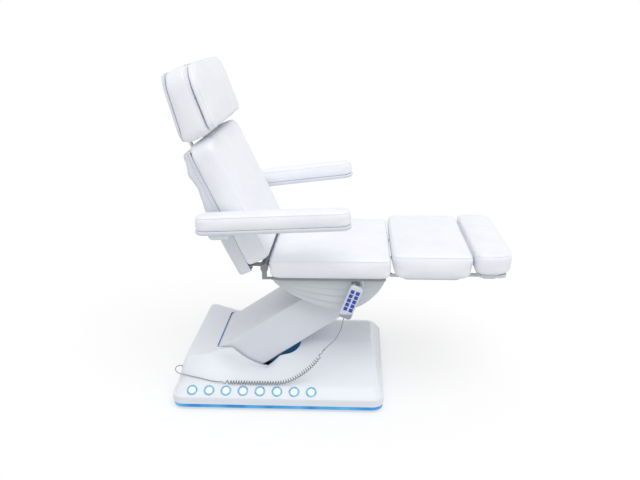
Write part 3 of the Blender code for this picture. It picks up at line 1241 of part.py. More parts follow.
# Leg rest: panel with hinge lugs, lever and sleeves, and its cushion
leg_panel_z = SEAT_PANEL_Z + LEG_LIFT
leg_top = leg_panel_z + PANEL_THICK
leg_middle = ((LEG_HEAD_X + LEG_FOOT_X) / 2, 0.0)
leg_panel_length = LEG_LENGTH - 2 * LEG_PANEL_INSET
leg_panel_width = 2 * panel_half - 2 * PANEL_INSET
leg_shapes = [slab(leg_panel_length, leg_panel_width, SEAT_CORNER, leg_panel_z, leg_top, leg_middle)]
leg_panel_head_x = leg_middle[0] - leg_panel_length / 2
sleeve_radius = bore(SLIDE_BAR) + SLEEVE_WALL
sleeve_z = leg_panel_z + SLEEVE_WALL / 2 - sleeve_radius
sleeve_foot_x = leg_middle[0] + leg_panel_length / 2
for side in (-1, 1):
    lug_inner_y = LEG_LUG_SPREAD / 2 + SIDE_PLAY
    leg_lug_y = sorted((side * lug_inner_y, side * (lug_inner_y + LUG_THICK)))
    leg_lug = bar_outline((LEG_X, LEG_Z), (leg_panel_head_x + LEG_LUG, LEG_Z), LEG_LUG * 0.55)
    leg_shapes.append(prism(leg_lug, *leg_lug_y))
    pin_y = sorted((side * (LEG_LUG_SPREAD / 2 - LUG_THICK), side * (lug_inner_y + LUG_THICK / 2)))
    leg_shapes.append(cross_rod(LEG_X, LEG_Z, *pin_y, leg_pin))
    sleeve_y = side * SLIDE_SPREAD / 2
    sleeve_head = (sleeve_foot_x - SLEEVE_LENGTH, sleeve_y, sleeve_z)
    leg_shapes.append(rod(sleeve_head, (sleeve_foot_x, sleeve_y, sleeve_z), sleeve_radius))
lever_root = (leg_panel_head_x + 2 * LEG_LUG, leg_panel_z + PANEL_THICK / 2 - LEG_LUG)
lever_fin = prism(bar_outline(lever_root, leg_tip, LEG_LUG), leg_lever_y - LUG_THICK, leg_lever_y)
leg_shapes.append(lever_fin)
leg_frame = assembly("leg_frame", leg_shapes, "leg_rest", frame_steel)
for side in (-1, 1):
    sleeve_y = side * SLIDE_SPREAD / 2
    slide_bore = rod(
        (sleeve_foot_x - SLEEVE_LENGTH - SLIDE_BAR, sleeve_y, sleeve_z),
        (sleeve_foot_x + SLIDE_BAR, sleeve_y, sleeve_z),
        bore(SLIDE_BAR),
    )
    boolean(leg_frame, slide_bore, "leg_rest", "DIFFERENCE")
leg_pad = cushion(LEG_LENGTH, BED_WIDTH, LEG_THICK, LEG_CROWN, LEG_CORNER, LEG_CORNER, tuck=LEG_TUCK)
leg_place = Matrix.Translation((*leg_middle, leg_top + GAP))
piece("leg_cushion", moved(leg_pad, leg_place), "leg_rest", leather)

# Foot rest: panel with two slide bars in the leg rest's sleeves, and its cushion
foot_panel_z = SEAT_Z + FOOT_LIFT - PANEL_THICK
foot_top = foot_panel_z + PANEL_THICK
foot_middle = ((FOOT_HEAD_X + FOOT_END_X) / 2, 0.0)
foot_panel_size = (FOOT_LENGTH - 2 * PANEL_INSET, 2 * panel_half)
foot_shapes = [slab(*foot_panel_size, SEAT_CORNER, foot_panel_z, foot_top, foot_middle)]
bar_foot_x = foot_middle[0] + PANEL_INSET
for side in (-1, 1):
    bar_y = side * SLIDE_SPREAD / 2
    bar_ends = ((bar_foot_x - SLIDE_LENGTH, bar_y, sleeve_z), (bar_foot_x, bar_y, sleeve_z))
    foot_shapes.append(rod(*bar_ends, SLIDE_BAR))
    post_low = (foot_middle[0] - PANEL_INSET, bar_y - 1.5 * SLIDE_BAR, sleeve_z - 1.5 * SLIDE_BAR)
    post_high = (bar_foot_x + SLIDE_BAR, bar_y + 1.5 * SLIDE_BAR, foot_panel_z + PANEL_THICK / 2)
    foot_shapes.append(box(post_low, post_high))
assembly("foot_frame", foot_shapes, "foot_rest", frame_steel)
foot_pad = cushion(FOOT_LENGTH, BED_WIDTH, FOOT_THICK, FOOT_CROWN, FOOT_CORNER, FOOT_END_CORNER, tuck=FOOT_TUCK)
foot_place = Matrix.Translation((*foot_middle, foot_top + GAP))
piece("foot_cushion", moved(foot_pad, foot_place), "foot_rest", leather)

# Handset on its hook: case with recessed keys, leaning as it hangs, with its face to the user
shroud_face = -(shroud_half + SHROUD_STEP * SHROUD_STEPS)
handset_back = shroud_face - HANDSET_STAND
handset_face = handset_back - HANDSET_THICK
handset_frame = Matrix.Translation((HANDSET_TOP_X, 0.0, HANDSET_TOP_Z))
handset_frame = handset_frame @ Matrix.Rotation(math.radians(HANDSET_LEAN), 4, "Y")
case_low = (-HANDSET_WIDTH / 2, handset_face, -HANDSET_LENGTH)
case_high = (HANDSET_WIDTH / 2, handset_back, 0.0)
case = box(case_low, case_high)
case_edges = []
for edge in case.edges:
    if abs(edge.verts[0].co.y - edge.verts[1].co.y) > HANDSET_THICK / 2:
        case_edges.append(edge)
bmesh.ops.bevel(case, geom=case_edges, offset=HANDSET_ROUND, segments=3, profile=0.5, affect="EDGES")
handset = piece("handset_case", moved(case, handset_frame), "carrier", handset_plastic)
key_back = handset_face + KEY_THICK
key_front = handset_face - KEY_PROUD
for row in range(KEY_ROWS):
    for column in range(KEY_COLUMNS):
        key_x = (column - (KEY_COLUMNS - 1) / 2) * KEY_COLUMN_PITCH
        key_z = -KEY_FIRST - KEY_ROW_PITCH * row
        half = KEY_SIZE / 2
        wide = half + KEY_PLAY
        well_low = (key_x - wide, handset_face - KEY_THICK, key_z - wide)
        well_high = (key_x + wide, key_back + 2 * KEY_PROUD, key_z + wide)
        boolean(handset, moved(box(well_low, well_high), handset_frame), "carrier", "DIFFERENCE")
        key_name = "key_" + str(row * KEY_COLUMNS + column + 1)
        key_middle = handset_frame @ Vector((key_x, key_front, key_z))
        body(key_name, "carrier", tuple(key_middle))
        cap = box((key_x - half, key_front, key_z - half), (key_x + half, key_back, key_z + half))
        piece(key_name, moved(cap, handset_frame), key_name, key_plastic)

hook_top = HANDSET_TOP_Z - HOOK_WIRE
hook_shapes = []
hook_y = (handset_back + GAP, shroud_face - GAP)
hook_plate_low = (HANDSET_TOP_X - HOOK_WIDTH / 2, hook_y[1] - HOOK_WIRE, hook_top - HOOK_DROP)
hook_plate_high = (HANDSET_TOP_X + HOOK_WIDTH / 2, hook_y[1], hook_top + HOOK_DROP)
hook_shapes.append(box(hook_plate_low, hook_plate_high))
for side in (-1, 1):
    peg_x = HANDSET_TOP_X + side * HOOK_WIDTH / 4
    peg_root = (peg_x, hook_y[1] - HOOK_WIRE / 2, hook_top)
    hook_shapes.append(rod((peg_x, hook_y[0], hook_top), peg_root, HOOK_WIRE))
assembly("handset_hook", hook_shapes, "carrier", bright_steel)


# Cord: a straight lead from the handset, a curly length and a straight tail into the base's gland
def smooth_route(points, step):
    """Points a step apart on a smooth curve through the route's own points."""
    knots = [Vector(point) for point in points]
    knots = [2 * knots[0] - knots[1]] + knots + [2 * knots[-1] - knots[-2]]
    route = []
    for before, start, end, after in zip(knots, knots[1:], knots[2:], knots[3:]):
        count = max(2, round((end - start).length / step))
        for k in range(count):
            t = k / count
            point = 2 * start + (end - before) * t
            point += (2 * before - 5 * start + 4 * end - after) * t**2
            point += (3 * start - before - 3 * end + after) * t**3
            route.append(point / 2)
    route.append(knots[-2])
    return route


def tube_curve(name, points, resolution, owner):
    """A round cord along the points."""
    curve = bpy.data.curves.new(name, "CURVE")
    curve.dimensions = "3D"
    curve.bevel_depth = CORD_DIAMETER / 2
    curve.bevel_resolution = resolution
    curve.use_fill_caps = True
    spline = curve.splines.new("POLY")
    spline.points.add(len(points) - 1)
    for place, point in zip(spline.points, points):
        place.co = (*(point - pivots[owner]), 1.0)
    curve.materials.append(finish(name, cord_plastic))
    made = bpy.data.objects.new(name, curve)
    made.parent = bodies[owner]
    parts.objects.link(made)


def curled(route, curls):
    """A helix round the route, drawn in to the route's own line at both ends."""
    lengths = [0.0]
    for start, end in zip(route, route[1:]):
        lengths.append(lengths[-1] + (end - start).length)
    radius = (COIL_OUTER - CORD_DIAMETER) / 2
    count = curls * CURL_POINTS
    across = Vector((0.0, 1.0, 0.0))
    helix = []
    for k in range(count + 1):
        reach = lengths[-1] * k / count
        index = max(i for i, length in enumerate(lengths) if length <= reach + 1e-9)
        index = min(index, len(route) - 2)
        share = (reach - lengths[index]) / (lengths[index + 1] - lengths[index])
        middle = route[index].lerp(route[index + 1], share)
        ahead = (route[index + 1] - route[index]).normalized()
        side = (across - ahead * across.dot(ahead)).normalized()
        up = ahead.cross(side)
        drawn = radius * min(1.0, k / CURL_POINTS, (count - k) / CURL_POINTS)
        angle = 2 * math.pi * k / CURL_POINTS
        helix.append(middle + (side * math.cos(angle) + up * math.sin(angle)) * drawn)
    return helix


handset_foot = handset_frame @ Vector((0.0, (handset_face + handset_back) / 2, -HANDSET_LENGTH))
handset_down = (handset_frame.to_3x3() @ Vector((0.0, 0.0, -1.0))).normalized()
lead_start = handset_foot + handset_down * GAP
coil_start = Vector(COIL_START)
lead_knots = [handset_foot.lerp(coil_start, share) + Vector((bow, 0.0, 0.0)) for share, bow in LEAD_ROUTE]
coil_in = (coil_start - lead_knots[-1]).normalized()
lead_end = coil_start - coil_in * GAP
lead_points = [lead_start, lead_start + handset_down * 2 * CORD_DIAMETER]
lead_points += lead_knots + [lead_end]
lead_points = smooth_route(lead_points, CORD_STEP)
del lead_points[1]
tube_curve("handset_lead", lead_points, 2, "carrier")

coil_first = coil_start + coil_in * CORD_DIAMETER
coil_line = smooth_route([coil_first, *COIL_ROUTE, COIL_END], CORD_DIAMETER)
helix = curled(coil_line, COIL_CURLS)
end_x = -(BASE_LENGTH / 2 - END_INSET)
wall_run = BASE_LENGTH / 2 - END_INSET - HUMP_LENGTH / 2
wall_lean = math.atan2(wall_run, HUMP_TOP - CONSOLE_Z)
wall_out = Vector((-math.cos(wall_lean), 0.0, math.sin(wall_lean)))
gland_x = end_x + (GLAND_Z - CONSOLE_Z) * math.tan(wall_lean)
gland_root = Vector((gland_x, GLAND_Y, GLAND_Z))
gland_mouth = gland_root + wall_out * GLAND_LENGTH
tail_end = gland_mouth + wall_out * GAP
tail_knots = [Vector(COIL_END), *TAIL_ROUTE, tail_end + wall_out * 2 * CORD_DIAMETER, tail_end]
tail_points = smooth_route(tail_knots, CORD_STEP)
del tail_points[-2]
tube_curve("handset_coil", [coil_start] + helix + tail_points[1:], 1, "base")
gaps = []
for i, one in enumerate(helix):
    gaps += [(one - other).length for other in helix[i + CURL_POINTS // 2 + 1 :]]
print("least gap between curls, mm:", round(1000 * (min(gaps) - CORD_DIAMETER), 2))

gland_inner = gland_root - wall_out * 3 * COVER_WALL
gland = piece("cord_gland", rod(gland_inner, gland_mouth, GLAND_RADIUS), "base", rubber)
gland_cut = rod(gland_inner - wall_out * COVER_WALL, gland_mouth, GLAND_RADIUS + GAP)
boolean(base_cover, gland_cut, "base", "DIFFERENCE")
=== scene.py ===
import json
import math

import bmesh
import bpy
from mathutils import Matrix, Vector


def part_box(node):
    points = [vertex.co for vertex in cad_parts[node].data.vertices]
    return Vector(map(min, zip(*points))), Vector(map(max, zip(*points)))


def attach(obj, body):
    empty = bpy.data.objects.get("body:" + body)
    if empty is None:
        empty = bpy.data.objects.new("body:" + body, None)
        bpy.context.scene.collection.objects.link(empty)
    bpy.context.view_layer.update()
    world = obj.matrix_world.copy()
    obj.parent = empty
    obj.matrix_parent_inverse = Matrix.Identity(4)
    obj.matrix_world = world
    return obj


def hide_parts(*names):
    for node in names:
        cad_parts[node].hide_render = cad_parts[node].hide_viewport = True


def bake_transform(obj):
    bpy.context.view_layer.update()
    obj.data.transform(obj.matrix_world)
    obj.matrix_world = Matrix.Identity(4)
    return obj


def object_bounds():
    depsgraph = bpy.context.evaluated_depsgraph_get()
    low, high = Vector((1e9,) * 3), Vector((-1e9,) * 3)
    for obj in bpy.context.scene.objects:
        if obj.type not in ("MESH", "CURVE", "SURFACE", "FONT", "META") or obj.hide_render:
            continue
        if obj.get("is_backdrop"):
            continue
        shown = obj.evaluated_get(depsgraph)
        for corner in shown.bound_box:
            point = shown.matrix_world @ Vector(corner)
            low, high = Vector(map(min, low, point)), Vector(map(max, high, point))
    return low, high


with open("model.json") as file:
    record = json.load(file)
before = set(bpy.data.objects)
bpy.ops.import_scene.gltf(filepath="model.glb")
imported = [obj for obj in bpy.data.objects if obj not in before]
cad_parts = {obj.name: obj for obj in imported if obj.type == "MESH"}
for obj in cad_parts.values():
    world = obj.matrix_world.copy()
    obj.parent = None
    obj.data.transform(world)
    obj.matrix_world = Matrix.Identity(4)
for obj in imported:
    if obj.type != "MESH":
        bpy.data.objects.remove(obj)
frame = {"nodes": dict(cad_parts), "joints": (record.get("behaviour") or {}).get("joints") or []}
cad_low, cad_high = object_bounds()


# Studio: a white floor and white surroundings under one broad soft lamp, and a camera in front of the
# bed's near side, a little above the seat, as a catalogue picture is taken.
def linear(code):
    """The linear colour of an sRGB hex code, with alpha 1."""
    values = [int(code[k : k + 2], 16) / 255 for k in (1, 3, 5)]
    return (*[v / 12.92 if v <= 0.04045 else ((v + 0.055) / 1.055) ** 2.4 for v in values], 1.0)


def add_node(tree, kind, inputs=None, **settings):
    """A node with its settings made and its inputs set or linked."""
    made = tree.nodes.new(kind)
    for name, value in settings.items():
        setattr(made, name, value)
    for socket, value in (inputs or {}).items():
        if isinstance(value, bpy.types.NodeSocket):
            tree.links.new(value, made.inputs[socket])
        else:
            made.inputs[socket].default_value = value
    return made


def link(name, data):
    """An object of this data in the scene."""
    made = bpy.data.objects.new(name, data)
    bpy.context.scene.collection.objects.link(made)
    return made


def mesh_of(name, form):
    """A mesh from one in the making, with its faces turned outward."""
    bmesh.ops.recalc_face_normals(form, faces=form.faces)
    mesh = bpy.data.meshes.new(name)
    form.to_mesh(mesh)
    form.free()
    return mesh


def seen_directly(tree):
    """A value that is 1 for what the lens sees, also in a gloss or through glass, and else 0."""
    rays = add_node(tree, "ShaderNodeLightPath").outputs
    seen = rays["Is Camera Ray"]
    for kind in ("Is Glossy Ray", "Is Transmission Ray"):
        seen = add_node(tree, "ShaderNodeMath", {0: seen, 1: rays[kind]}, operation="MAXIMUM").outputs[0]
    return seen


CAMERA_PLACE = (0.0802, -2.919, 1.5807)
CAMERA_YAW = -0.056
CAMERA_PITCH = -0.3137
CAMERA_ROLL = -0.0095
FOCAL_PIXELS = 700
FRAME_PIXELS = 640
SENSOR_MM = 36
camera_data = bpy.data.cameras.new("camera")
camera_data.sensor_width = SENSOR_MM
camera_data.sensor_fit = "HORIZONTAL"
camera_data.lens = FOCAL_PIXELS / FRAME_PIXELS * SENSOR_MM
camera = link("camera", camera_data)
look = Matrix.Rotation(-CAMERA_YAW, 4, "Z") @ Matrix.Rotation(math.pi / 2 + CAMERA_PITCH, 4, "X")
camera.matrix_world = Matrix.Translation(CAMERA_PLACE) @ look @ Matrix.Rotation(CAMERA_ROLL, 4, "Z")
bpy.context.scene.camera = camera
bpy.context.scene.view_settings.view_transform = "Standard"

LAMP_STRENGTH = 1.12
LAMP_SPREAD = 50
LAMP_TURN = (math.radians(26), math.radians(16), 0.0)
SKY_STRENGTH = 0.70
lamp_data = bpy.data.lights.new("soft_lamp", "SUN")
lamp_data.energy = LAMP_STRENGTH
lamp_data.angle = math.radians(LAMP_SPREAD)
lamp = link("soft_lamp", lamp_data)
lamp.rotation_euler = LAMP_TURN

world = bpy.data.worlds.new("white_studio")
world.use_nodes = True
bpy.context.scene.world = world
sky = world.node_tree
blend = {0: seen_directly(sky), 1: 1.0 - SKY_STRENGTH, 2: SKY_STRENGTH}
strength = add_node(sky, "ShaderNodeMath", blend, operation="MULTIPLY_ADD")
sky.nodes["Background"].inputs["Color"].default_value = linear("#ffffff")
sky.links.new(strength.outputs[0], sky.nodes["Background"].inputs["Strength"])

FLOOR_SIZE = 60.0
FLOOR_SHARE = 0.68
FLOOR_SHARE_SEEN = 0.42
FLOOR_WHITE = 1.01
floor_form = bmesh.new()
bmesh.ops.create_grid(floor_form, x_segments=1, y_segments=1, size=FLOOR_SIZE / 2)
studio_floor = link("studio_floor", mesh_of("studio_floor", floor_form))
floor_paint = bpy.data.materials.new("white_paper")
floor_paint.use_nodes = True
paper = floor_paint.node_tree
paper.nodes.remove(paper.nodes["Principled BSDF"])
seen = seen_directly(paper)
glow = add_node(paper, "ShaderNodeMath", {0: seen, 1: FLOOR_WHITE - FLOOR_SHARE_SEEN}, operation="MULTIPLY")
blend = {0: seen, 1: FLOOR_SHARE_SEEN - FLOOR_SHARE, 2: FLOOR_SHARE}
share = add_node(paper, "ShaderNodeMath", blend, operation="MULTIPLY_ADD")
lit = add_node(paper, "ShaderNodeBsdfDiffuse", {"Color": share.outputs[0]})
bright = add_node(paper, "ShaderNodeEmission", {"Color": linear("#ffffff"), "Strength": glow.outputs[0]})
both = add_node(paper, "ShaderNodeAddShader", {0: lit.outputs[0], 1: bright.outputs[0]})
paper.links.new(both.outputs[0], paper.nodes["Material Output"].inputs["Surface"])
studio_floor.data.materials.append(floor_paint)
studio_floor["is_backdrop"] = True


# Base underside: black rubber foot rails under a welded steel plate, which carries the arm's cheeks, the lift
# drive and the control box. The plate is powder coated, with the blue lamps' light painted on it as a blue-grey
# colour and a glow, and the drives have dark moulded housings.
def surface(name, low, high, drift, rough, grain=None, span=(0.0, 1.0), glow=0.0, also=None):
    """A material, with its tree, its shader and its Object coordinates. Its colour drifts from low to high over a
    noise of this scale, detail and brokenness, and so does its roughness where two are given. A grain is a bump
    of this scale, detail, strength and depth. Other inputs of the shader can be given as well.
    """
    made = bpy.data.materials.new(name)
    made.use_nodes = True
    tree = made.node_tree
    shader = tree.nodes["Principled BSDF"]
    place = add_node(tree, "ShaderNodeTexCoord").outputs["Object"]
    noise = dict(zip(("Vector", "Scale", "Detail", "Roughness"), (place, *drift)))
    share = add_node(tree, "ShaderNodeTexNoise", noise).outputs["Fac"]
    tint = add_node(tree, "ShaderNodeValToRGB", {"Fac": share})
    for stop, position, code in zip(tint.color_ramp.elements, span, (low, high)):
        stop.position = position
        stop.color = linear(code)
    tree.links.new(tint.outputs["Color"], shader.inputs["Base Color"])
    if isinstance(rough, tuple):
        dulled = add_node(tree, "ShaderNodeMapRange", {"Value": share, "To Min": rough[0], "To Max": rough[1]})
        tree.links.new(dulled.outputs[0], shader.inputs["Roughness"])
    else:
        shader.inputs["Roughness"].default_value = rough
    if grain:
        pits = add_node(tree, "ShaderNodeTexNoise", {"Vector": place, "Scale": grain[0], "Detail": grain[1]})
        pitted = {"Height": pits.outputs["Fac"], "Strength": grain[2], "Distance": grain[3]}
        bump = add_node(tree, "ShaderNodeBump", pitted)
        tree.links.new(bump.outputs["Normal"], shader.inputs["Normal"])
    if glow:
        tree.links.new(tint.outputs["Color"], shader.inputs["Emission Color"])
        shader.inputs["Emission Strength"].default_value = glow
    for socket, value in (also or {}).items():
        shader.inputs[socket].default_value = value
    return made, tree, shader, place


def dress(material, *nodes):
    """Gives frame parts a material."""
    for name in nodes:
        mesh = frame["nodes"][name].data
        mesh.materials.clear()
        mesh.materials.append(material)


# Rubber, moulded: matt black with a dusty bloom in patches of about 30 mm and a fine pebble of about 1.5 mm.
rubber, tree, shader, place = surface("rubber_moulded", "#18191b", "#2c2d30", (33.0, 4.0), 0.78)
pebble = add_node(tree, "ShaderNodeTexVoronoi", {"Vector": place, "Scale": 650.0})
bump = add_node(tree, "ShaderNodeBump", {"Height": pebble.outputs["Distance"], "Strength": 0.15, "Distance": 0.0004})
tree.links.new(bump.outputs["Normal"], shader.inputs["Normal"])
dress(rubber, "foot_rail_near", "foot_rail_far", "cord_gland")

# Powder-coated steel: satin, with orange peel about 2 mm across and a little paler where it is worn. The base's
# plate is a dark blue-grey with a glow, both painted light from the blue lamps in the shade under the cover; the
# hinges and the arm's bars are a mid grey, and the panels under the cushions near white.
PEEL = (500.0, 2.0, 0.12, 0.0005)
coats = {}
# The dark coat's blue-grey colour and its glow of 0.40 are painted light from the blue lamps.
for coat, low, high, glow in (
    ("dark_painted_blue_light", "#24506e", "#316789", 0.40), ("grey", "#83878d", "#a0a3a8", 0.0), ("pale", "#cfd2d8", "#dfe1e6", 0.0)
):
    coat_name = "steel_powder_coated_" + coat
    coats[coat] = surface(coat_name, low, high, (18.0, 6.0, 0.7), (0.38, 0.55), PEEL, glow=glow)[0]
# The base's plate, in the coat with the painted blue lamp light.
dress(coats["dark_painted_blue_light"], "base_frame")
dress(coats["grey"], "lift_arm_frame", "level_link", "seat_carrier", "seat_frame", "back_frame")
dress(coats["pale"], "leg_frame", "foot_frame")

# Nylon drive housings, spark-textured: dark grey with a 1 mm grain.
SPARK = (1000.0, 1.0, 0.2, 0.0004)
housing = surface("nylon_housing_textured", "#3a3d42", "#4b4e54", (25.0, 3.0), 0.55, SPARK)[0]
dress(housing, "control_box", "lift_motor", "tilt_motor", "back_motor", "leg_motor")

# Plated steel rods, drawn and polished: bright, with a polish that varies a little over 1 mm.
METAL = {"Metallic": 1.0}
plated_steel, tree, shader, place = surface("steel_plated_drawn", "#b9bbbe", "#d6d8da", (40.0, 3.0), 0.22, also=METAL)
polish = add_node(tree, "ShaderNodeTexNoise", {"Vector": place, "Scale": 900.0, "Detail": 2.0})
rough = add_node(tree, "ShaderNodeMapRange", {"Value": polish.outputs["Fac"], "To Min": 0.14, "To Max": 0.30})
tree.links.new(rough.outputs[0], shader.inputs["Roughness"])
dress(plated_steel, "lift_rod", "tilt_rod", "back_rod", "leg_rod", "head_rods", "handset_hook")

# Light strip: a clear blue light guide round the foot of the base, lit from behind by small lamps set about
# 90 mm apart, so that it glows in soft brighter and deeper lengths.
STRIP_LAMP_SPACING = 0.090
STRIP_LAMPS = (1.0 / STRIP_LAMP_SPACING, 1.0)
light_guide = surface(
    "acrylic_light_guide", "#1a80c4", "#4db0e2", STRIP_LAMPS, 0.25, span=(0.35, 0.70), glow=0.35
)[0]
dress(light_guide, "light_strip")


# Base cover: one glossy white vacuum-formed moulding with a low rim, a sloping console for the foot buttons
# and a hump that narrows towards the foot end. It drops over the plate, with a slot for the lift arm.
def show(name, form, material, slot, body, *replaced, sharp=None):
    """An object from a mesh in the making, riding on a body in place of the frame parts named. It is shaded smooth,
    but for the edges sharper than an angle where one is given.
    """
    mesh = mesh_of(name, form)
    mesh.materials.append(material)
    mesh.shade_smooth()
    if sharp:
        mesh.set_sharp_from_angle(angle=math.radians(sharp))
    made = link(name, mesh)
    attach(made, body)
    if replaced:
        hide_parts(*replaced)
    return made


def settle(piece, sharp=35):
    """Applies a piece's modifiers to its mesh and smooths all but its sharp edges."""
    graph = bpy.context.evaluated_depsgraph_get()
    done = bpy.data.meshes.new_from_object(piece.evaluated_get(graph))
    piece.modifiers.clear()
    piece.data = done
    done.shade_smooth()
    done.set_sharp_from_angle(angle=math.radians(sharp))


def cut(piece, cutters, operation="DIFFERENCE"):
    """Cuts meshes out of a piece, or joins them to it, one after the other."""
    helpers = []
    for form in cutters:
        helpers.append(link("cutter", mesh_of("cutter", form)))
        step = piece.modifiers.new("cut", "BOOLEAN")
        step.operation = operation
        step.solver = "EXACT"
        step.object = helpers[-1]
    bpy.context.view_layer.update()
    settle(piece)
    for helper in helpers:
        bpy.data.objects.remove(helper)


def block(low, high):
    """A box between two corners."""
    form = bmesh.new()
    bmesh.ops.create_cube(form, size=1.0)
    bmesh.ops.scale(form, verts=form.verts, vec=Vector(high) - Vector(low))
    bmesh.ops.translate(form, verts=form.verts, vec=(Vector(high) + Vector(low)) / 2)
    return form


def along(form, axis):
    """The edges of a mesh that run along one axis."""
    found = []
    for edge in form.edges:
        run = edge.verts[1].co - edge.verts[0].co
        if abs(run.normalized()[axis]) > 0.999:
            found.append(edge)
    return found


def bevel(form, edges, offset, segments):
    """Rounds edges."""
    bmesh.ops.bevel(
        form, geom=edges, offset=offset, segments=segments, profile=0.5, affect="EDGES", material=-1, clamp_overlap=True
    )


def moved(form, matrix):
    """Puts a mesh in its place."""
    bmesh.ops.transform(form, verts=form.verts, matrix=matrix)
    return form


def sliced(form, axis, places):
    """Cuts a mesh's faces across one axis at each of the places, and keeps all of it."""
    normal = Vector((0.0, 0.0, 0.0))
    normal[axis] = 1.0
    for at in places:
        everything = form.verts[:] + form.edges[:] + form.faces[:]
        bmesh.ops.bisect_plane(form, geom=everything, plane_co=normal * at, plane_no=normal)


def walled(piece, thickness):
    """Gives a skin a wall on its inner side."""
    wall = piece.modifiers.new("wall", "SOLIDIFY")
    wall.thickness = thickness
    wall.offset = -1.0
    wall.use_even_offset = True
    return wall


def tube(start, end, radius, sides=40):
    """A closed cylinder between two points."""
    start = Vector(start)
    end = Vector(end)
    form = bmesh.new()
    length = (end - start).length
    bmesh.ops.create_cone(form, cap_ends=True, segments=sides, radius1=radius, radius2=radius, depth=length)
    turn = (end - start).to_track_quat("Z", "Y").to_matrix().to_4x4()
    return moved(form, Matrix.Translation((start + end) / 2) @ turn)


BASE_X = -0.250
BASE_LENGTH = 0.890
BASE_WIDTH = 0.750
BASE_CORNER = 0.050
COVER_FOOT_Z = 0.0283
RIM_Z = 0.062
RIM_ROUND = 0.006
CONSOLE_Z = 0.096
END_INSET = 0.018
CONSOLE_INSET = 0.046
HUMP_TOP = 0.200
HUMP_LENGTH = 0.784
HUMP_HEAD_HALF = 0.300
HUMP_FOOT_HALF = 0.090
HUMP_TAPER = 2.8
HUMP_ROUND = 0.3
HUMP_EARLY = 1.04
SCOOP_DEPTH = 0.090
SCOOP_X = -0.055
SCOOP_Y = 0.190
SCOOP_HEAD = 0.130
SCOOP_FOOT = 0.040
SCOOP_WIDTH = 0.070
SCOOP_FADE = 12
COVER_WALL = 0.004
COVER_GRID = 0.030
ROUND_STEPS = 6
CONSOLE_STEPS = 4
HUMP_STEPS = 16

cover = block(
    (-BASE_LENGTH / 2, -BASE_WIDTH / 2, COVER_FOOT_Z), (BASE_LENGTH / 2, BASE_WIDTH / 2, RIM_Z - RIM_ROUND)
)
bevel(cover, along(cover, 2), BASE_CORNER, 10)
ends = [face for face in cover.faces if abs(face.normal.z) > 0.9]
bmesh.ops.delete(cover, geom=ends, context="FACES_ONLY")
for axis, size in ((0, BASE_LENGTH), (1, BASE_WIDTH)):
    count = int((size / 2 - BASE_CORNER) / COVER_GRID)
    sliced(cover, axis, [k * COVER_GRID for k in range(-count, count + 1)])
rim = [edge for edge in cover.edges if edge.is_boundary and edge.verts[0].co.z > RIM_Z - 2 * RIM_ROUND]
for step in range(ROUND_STEPS + CONSOLE_STEPS + HUMP_STEPS):
    grown = bmesh.ops.extrude_edge_only(cover, edges=rim)["geom"]
    rim = [item for item in grown if isinstance(item, bmesh.types.BMEdge)]
    risen = [item for item in grown if isinstance(item, bmesh.types.BMVert)]
    bmesh.ops.translate(cover, verts=risen, vec=(0.0, 0.0, 1.0))
bmesh.ops.holes_fill(cover, edges=rim, sides=0)
for vert in cover.verts:
    step = round(vert.co.z - (RIM_Z - RIM_ROUND))
    if step < 1:
        continue
    x, y, _ = vert.co
    if step <= ROUND_STEPS:
        turn = math.radians(90 * step / ROUND_STEPS)
        inset_x = RIM_ROUND * (1.0 - math.cos(turn))
        inset_y = inset_x
        z = RIM_Z - RIM_ROUND * (1.0 - math.sin(turn))
    else:
        share = min(1.0, (step - ROUND_STEPS) / CONSOLE_STEPS)
        inset_x = RIM_ROUND + (END_INSET - RIM_ROUND) * share
        inset_y = RIM_ROUND + (CONSOLE_INSET - RIM_ROUND) * share
        z = RIM_Z + (CONSOLE_Z - RIM_Z) * share
    x *= 1.0 - 2 * inset_x / BASE_LENGTH
    y *= 1.0 - 2 * inset_y / BASE_WIDTH
    if step > ROUND_STEPS + CONSOLE_STEPS:
        share = (step - ROUND_STEPS - CONSOLE_STEPS) / HUMP_STEPS
        top_x = x * HUMP_LENGTH / (BASE_LENGTH - 2 * END_INSET)
        reach = max(0.0, 0.5 - top_x / HUMP_LENGTH)
        half = HUMP_FOOT_HALF + (HUMP_HEAD_HALF - HUMP_FOOT_HALF) * reach**HUMP_TAPER
        top_y = y / (BASE_WIDTH / 2 - CONSOLE_INSET) * half
        x += (top_x - x) * share
        y += (top_y - y) * share
        climb = min(1.0, share * HUMP_EARLY)
        rise = math.sin(math.radians(90) * climb) * HUMP_ROUND + climb * (1.0 - HUMP_ROUND)
        z = CONSOLE_Z + (HUMP_TOP - CONSOLE_Z) * rise
        near_x = math.exp(-(((x - SCOOP_X) / (SCOOP_HEAD if x < SCOOP_X else SCOOP_FOOT)) ** 2))
        near_y = math.exp(-(((abs(y) - SCOOP_Y) / SCOOP_WIDTH) ** 2))
        z -= SCOOP_DEPTH * near_x * near_y * share * (1.0 - share**SCOOP_FADE)
    vert.co = (x, y, z)
bmesh.ops.translate(cover, verts=cover.verts, vec=(BASE_X, 0.0, 0.0))

# ABS, vacuum formed: cool white with a faint cloudiness over 150 mm, an orange peel of 3 mm that only shows in
# reflections, and a thin soft gloss over it.
GLOSS_PEEL = (330.0, 2.0, 0.04, 0.0005)
GLOSS = {"Coat Weight": 0.10, "Coat Roughness": 0.22}
gloss_abs = surface("abs_white_gloss", "#e9edf4", "#eef1f7", (6.5, 3.0), (0.32, 0.40), GLOSS_PEEL, also=GLOSS)[0]

# The cover's unpolished inner side, as it shows in the arm's slot: its blue and its glow are painted lamp light.
inner_abs = surface("abs_inner_side_painted_blue_light", "#1f567d", "#2f75a3", (14.0, 3.0), 0.6, glow=0.45)[0]

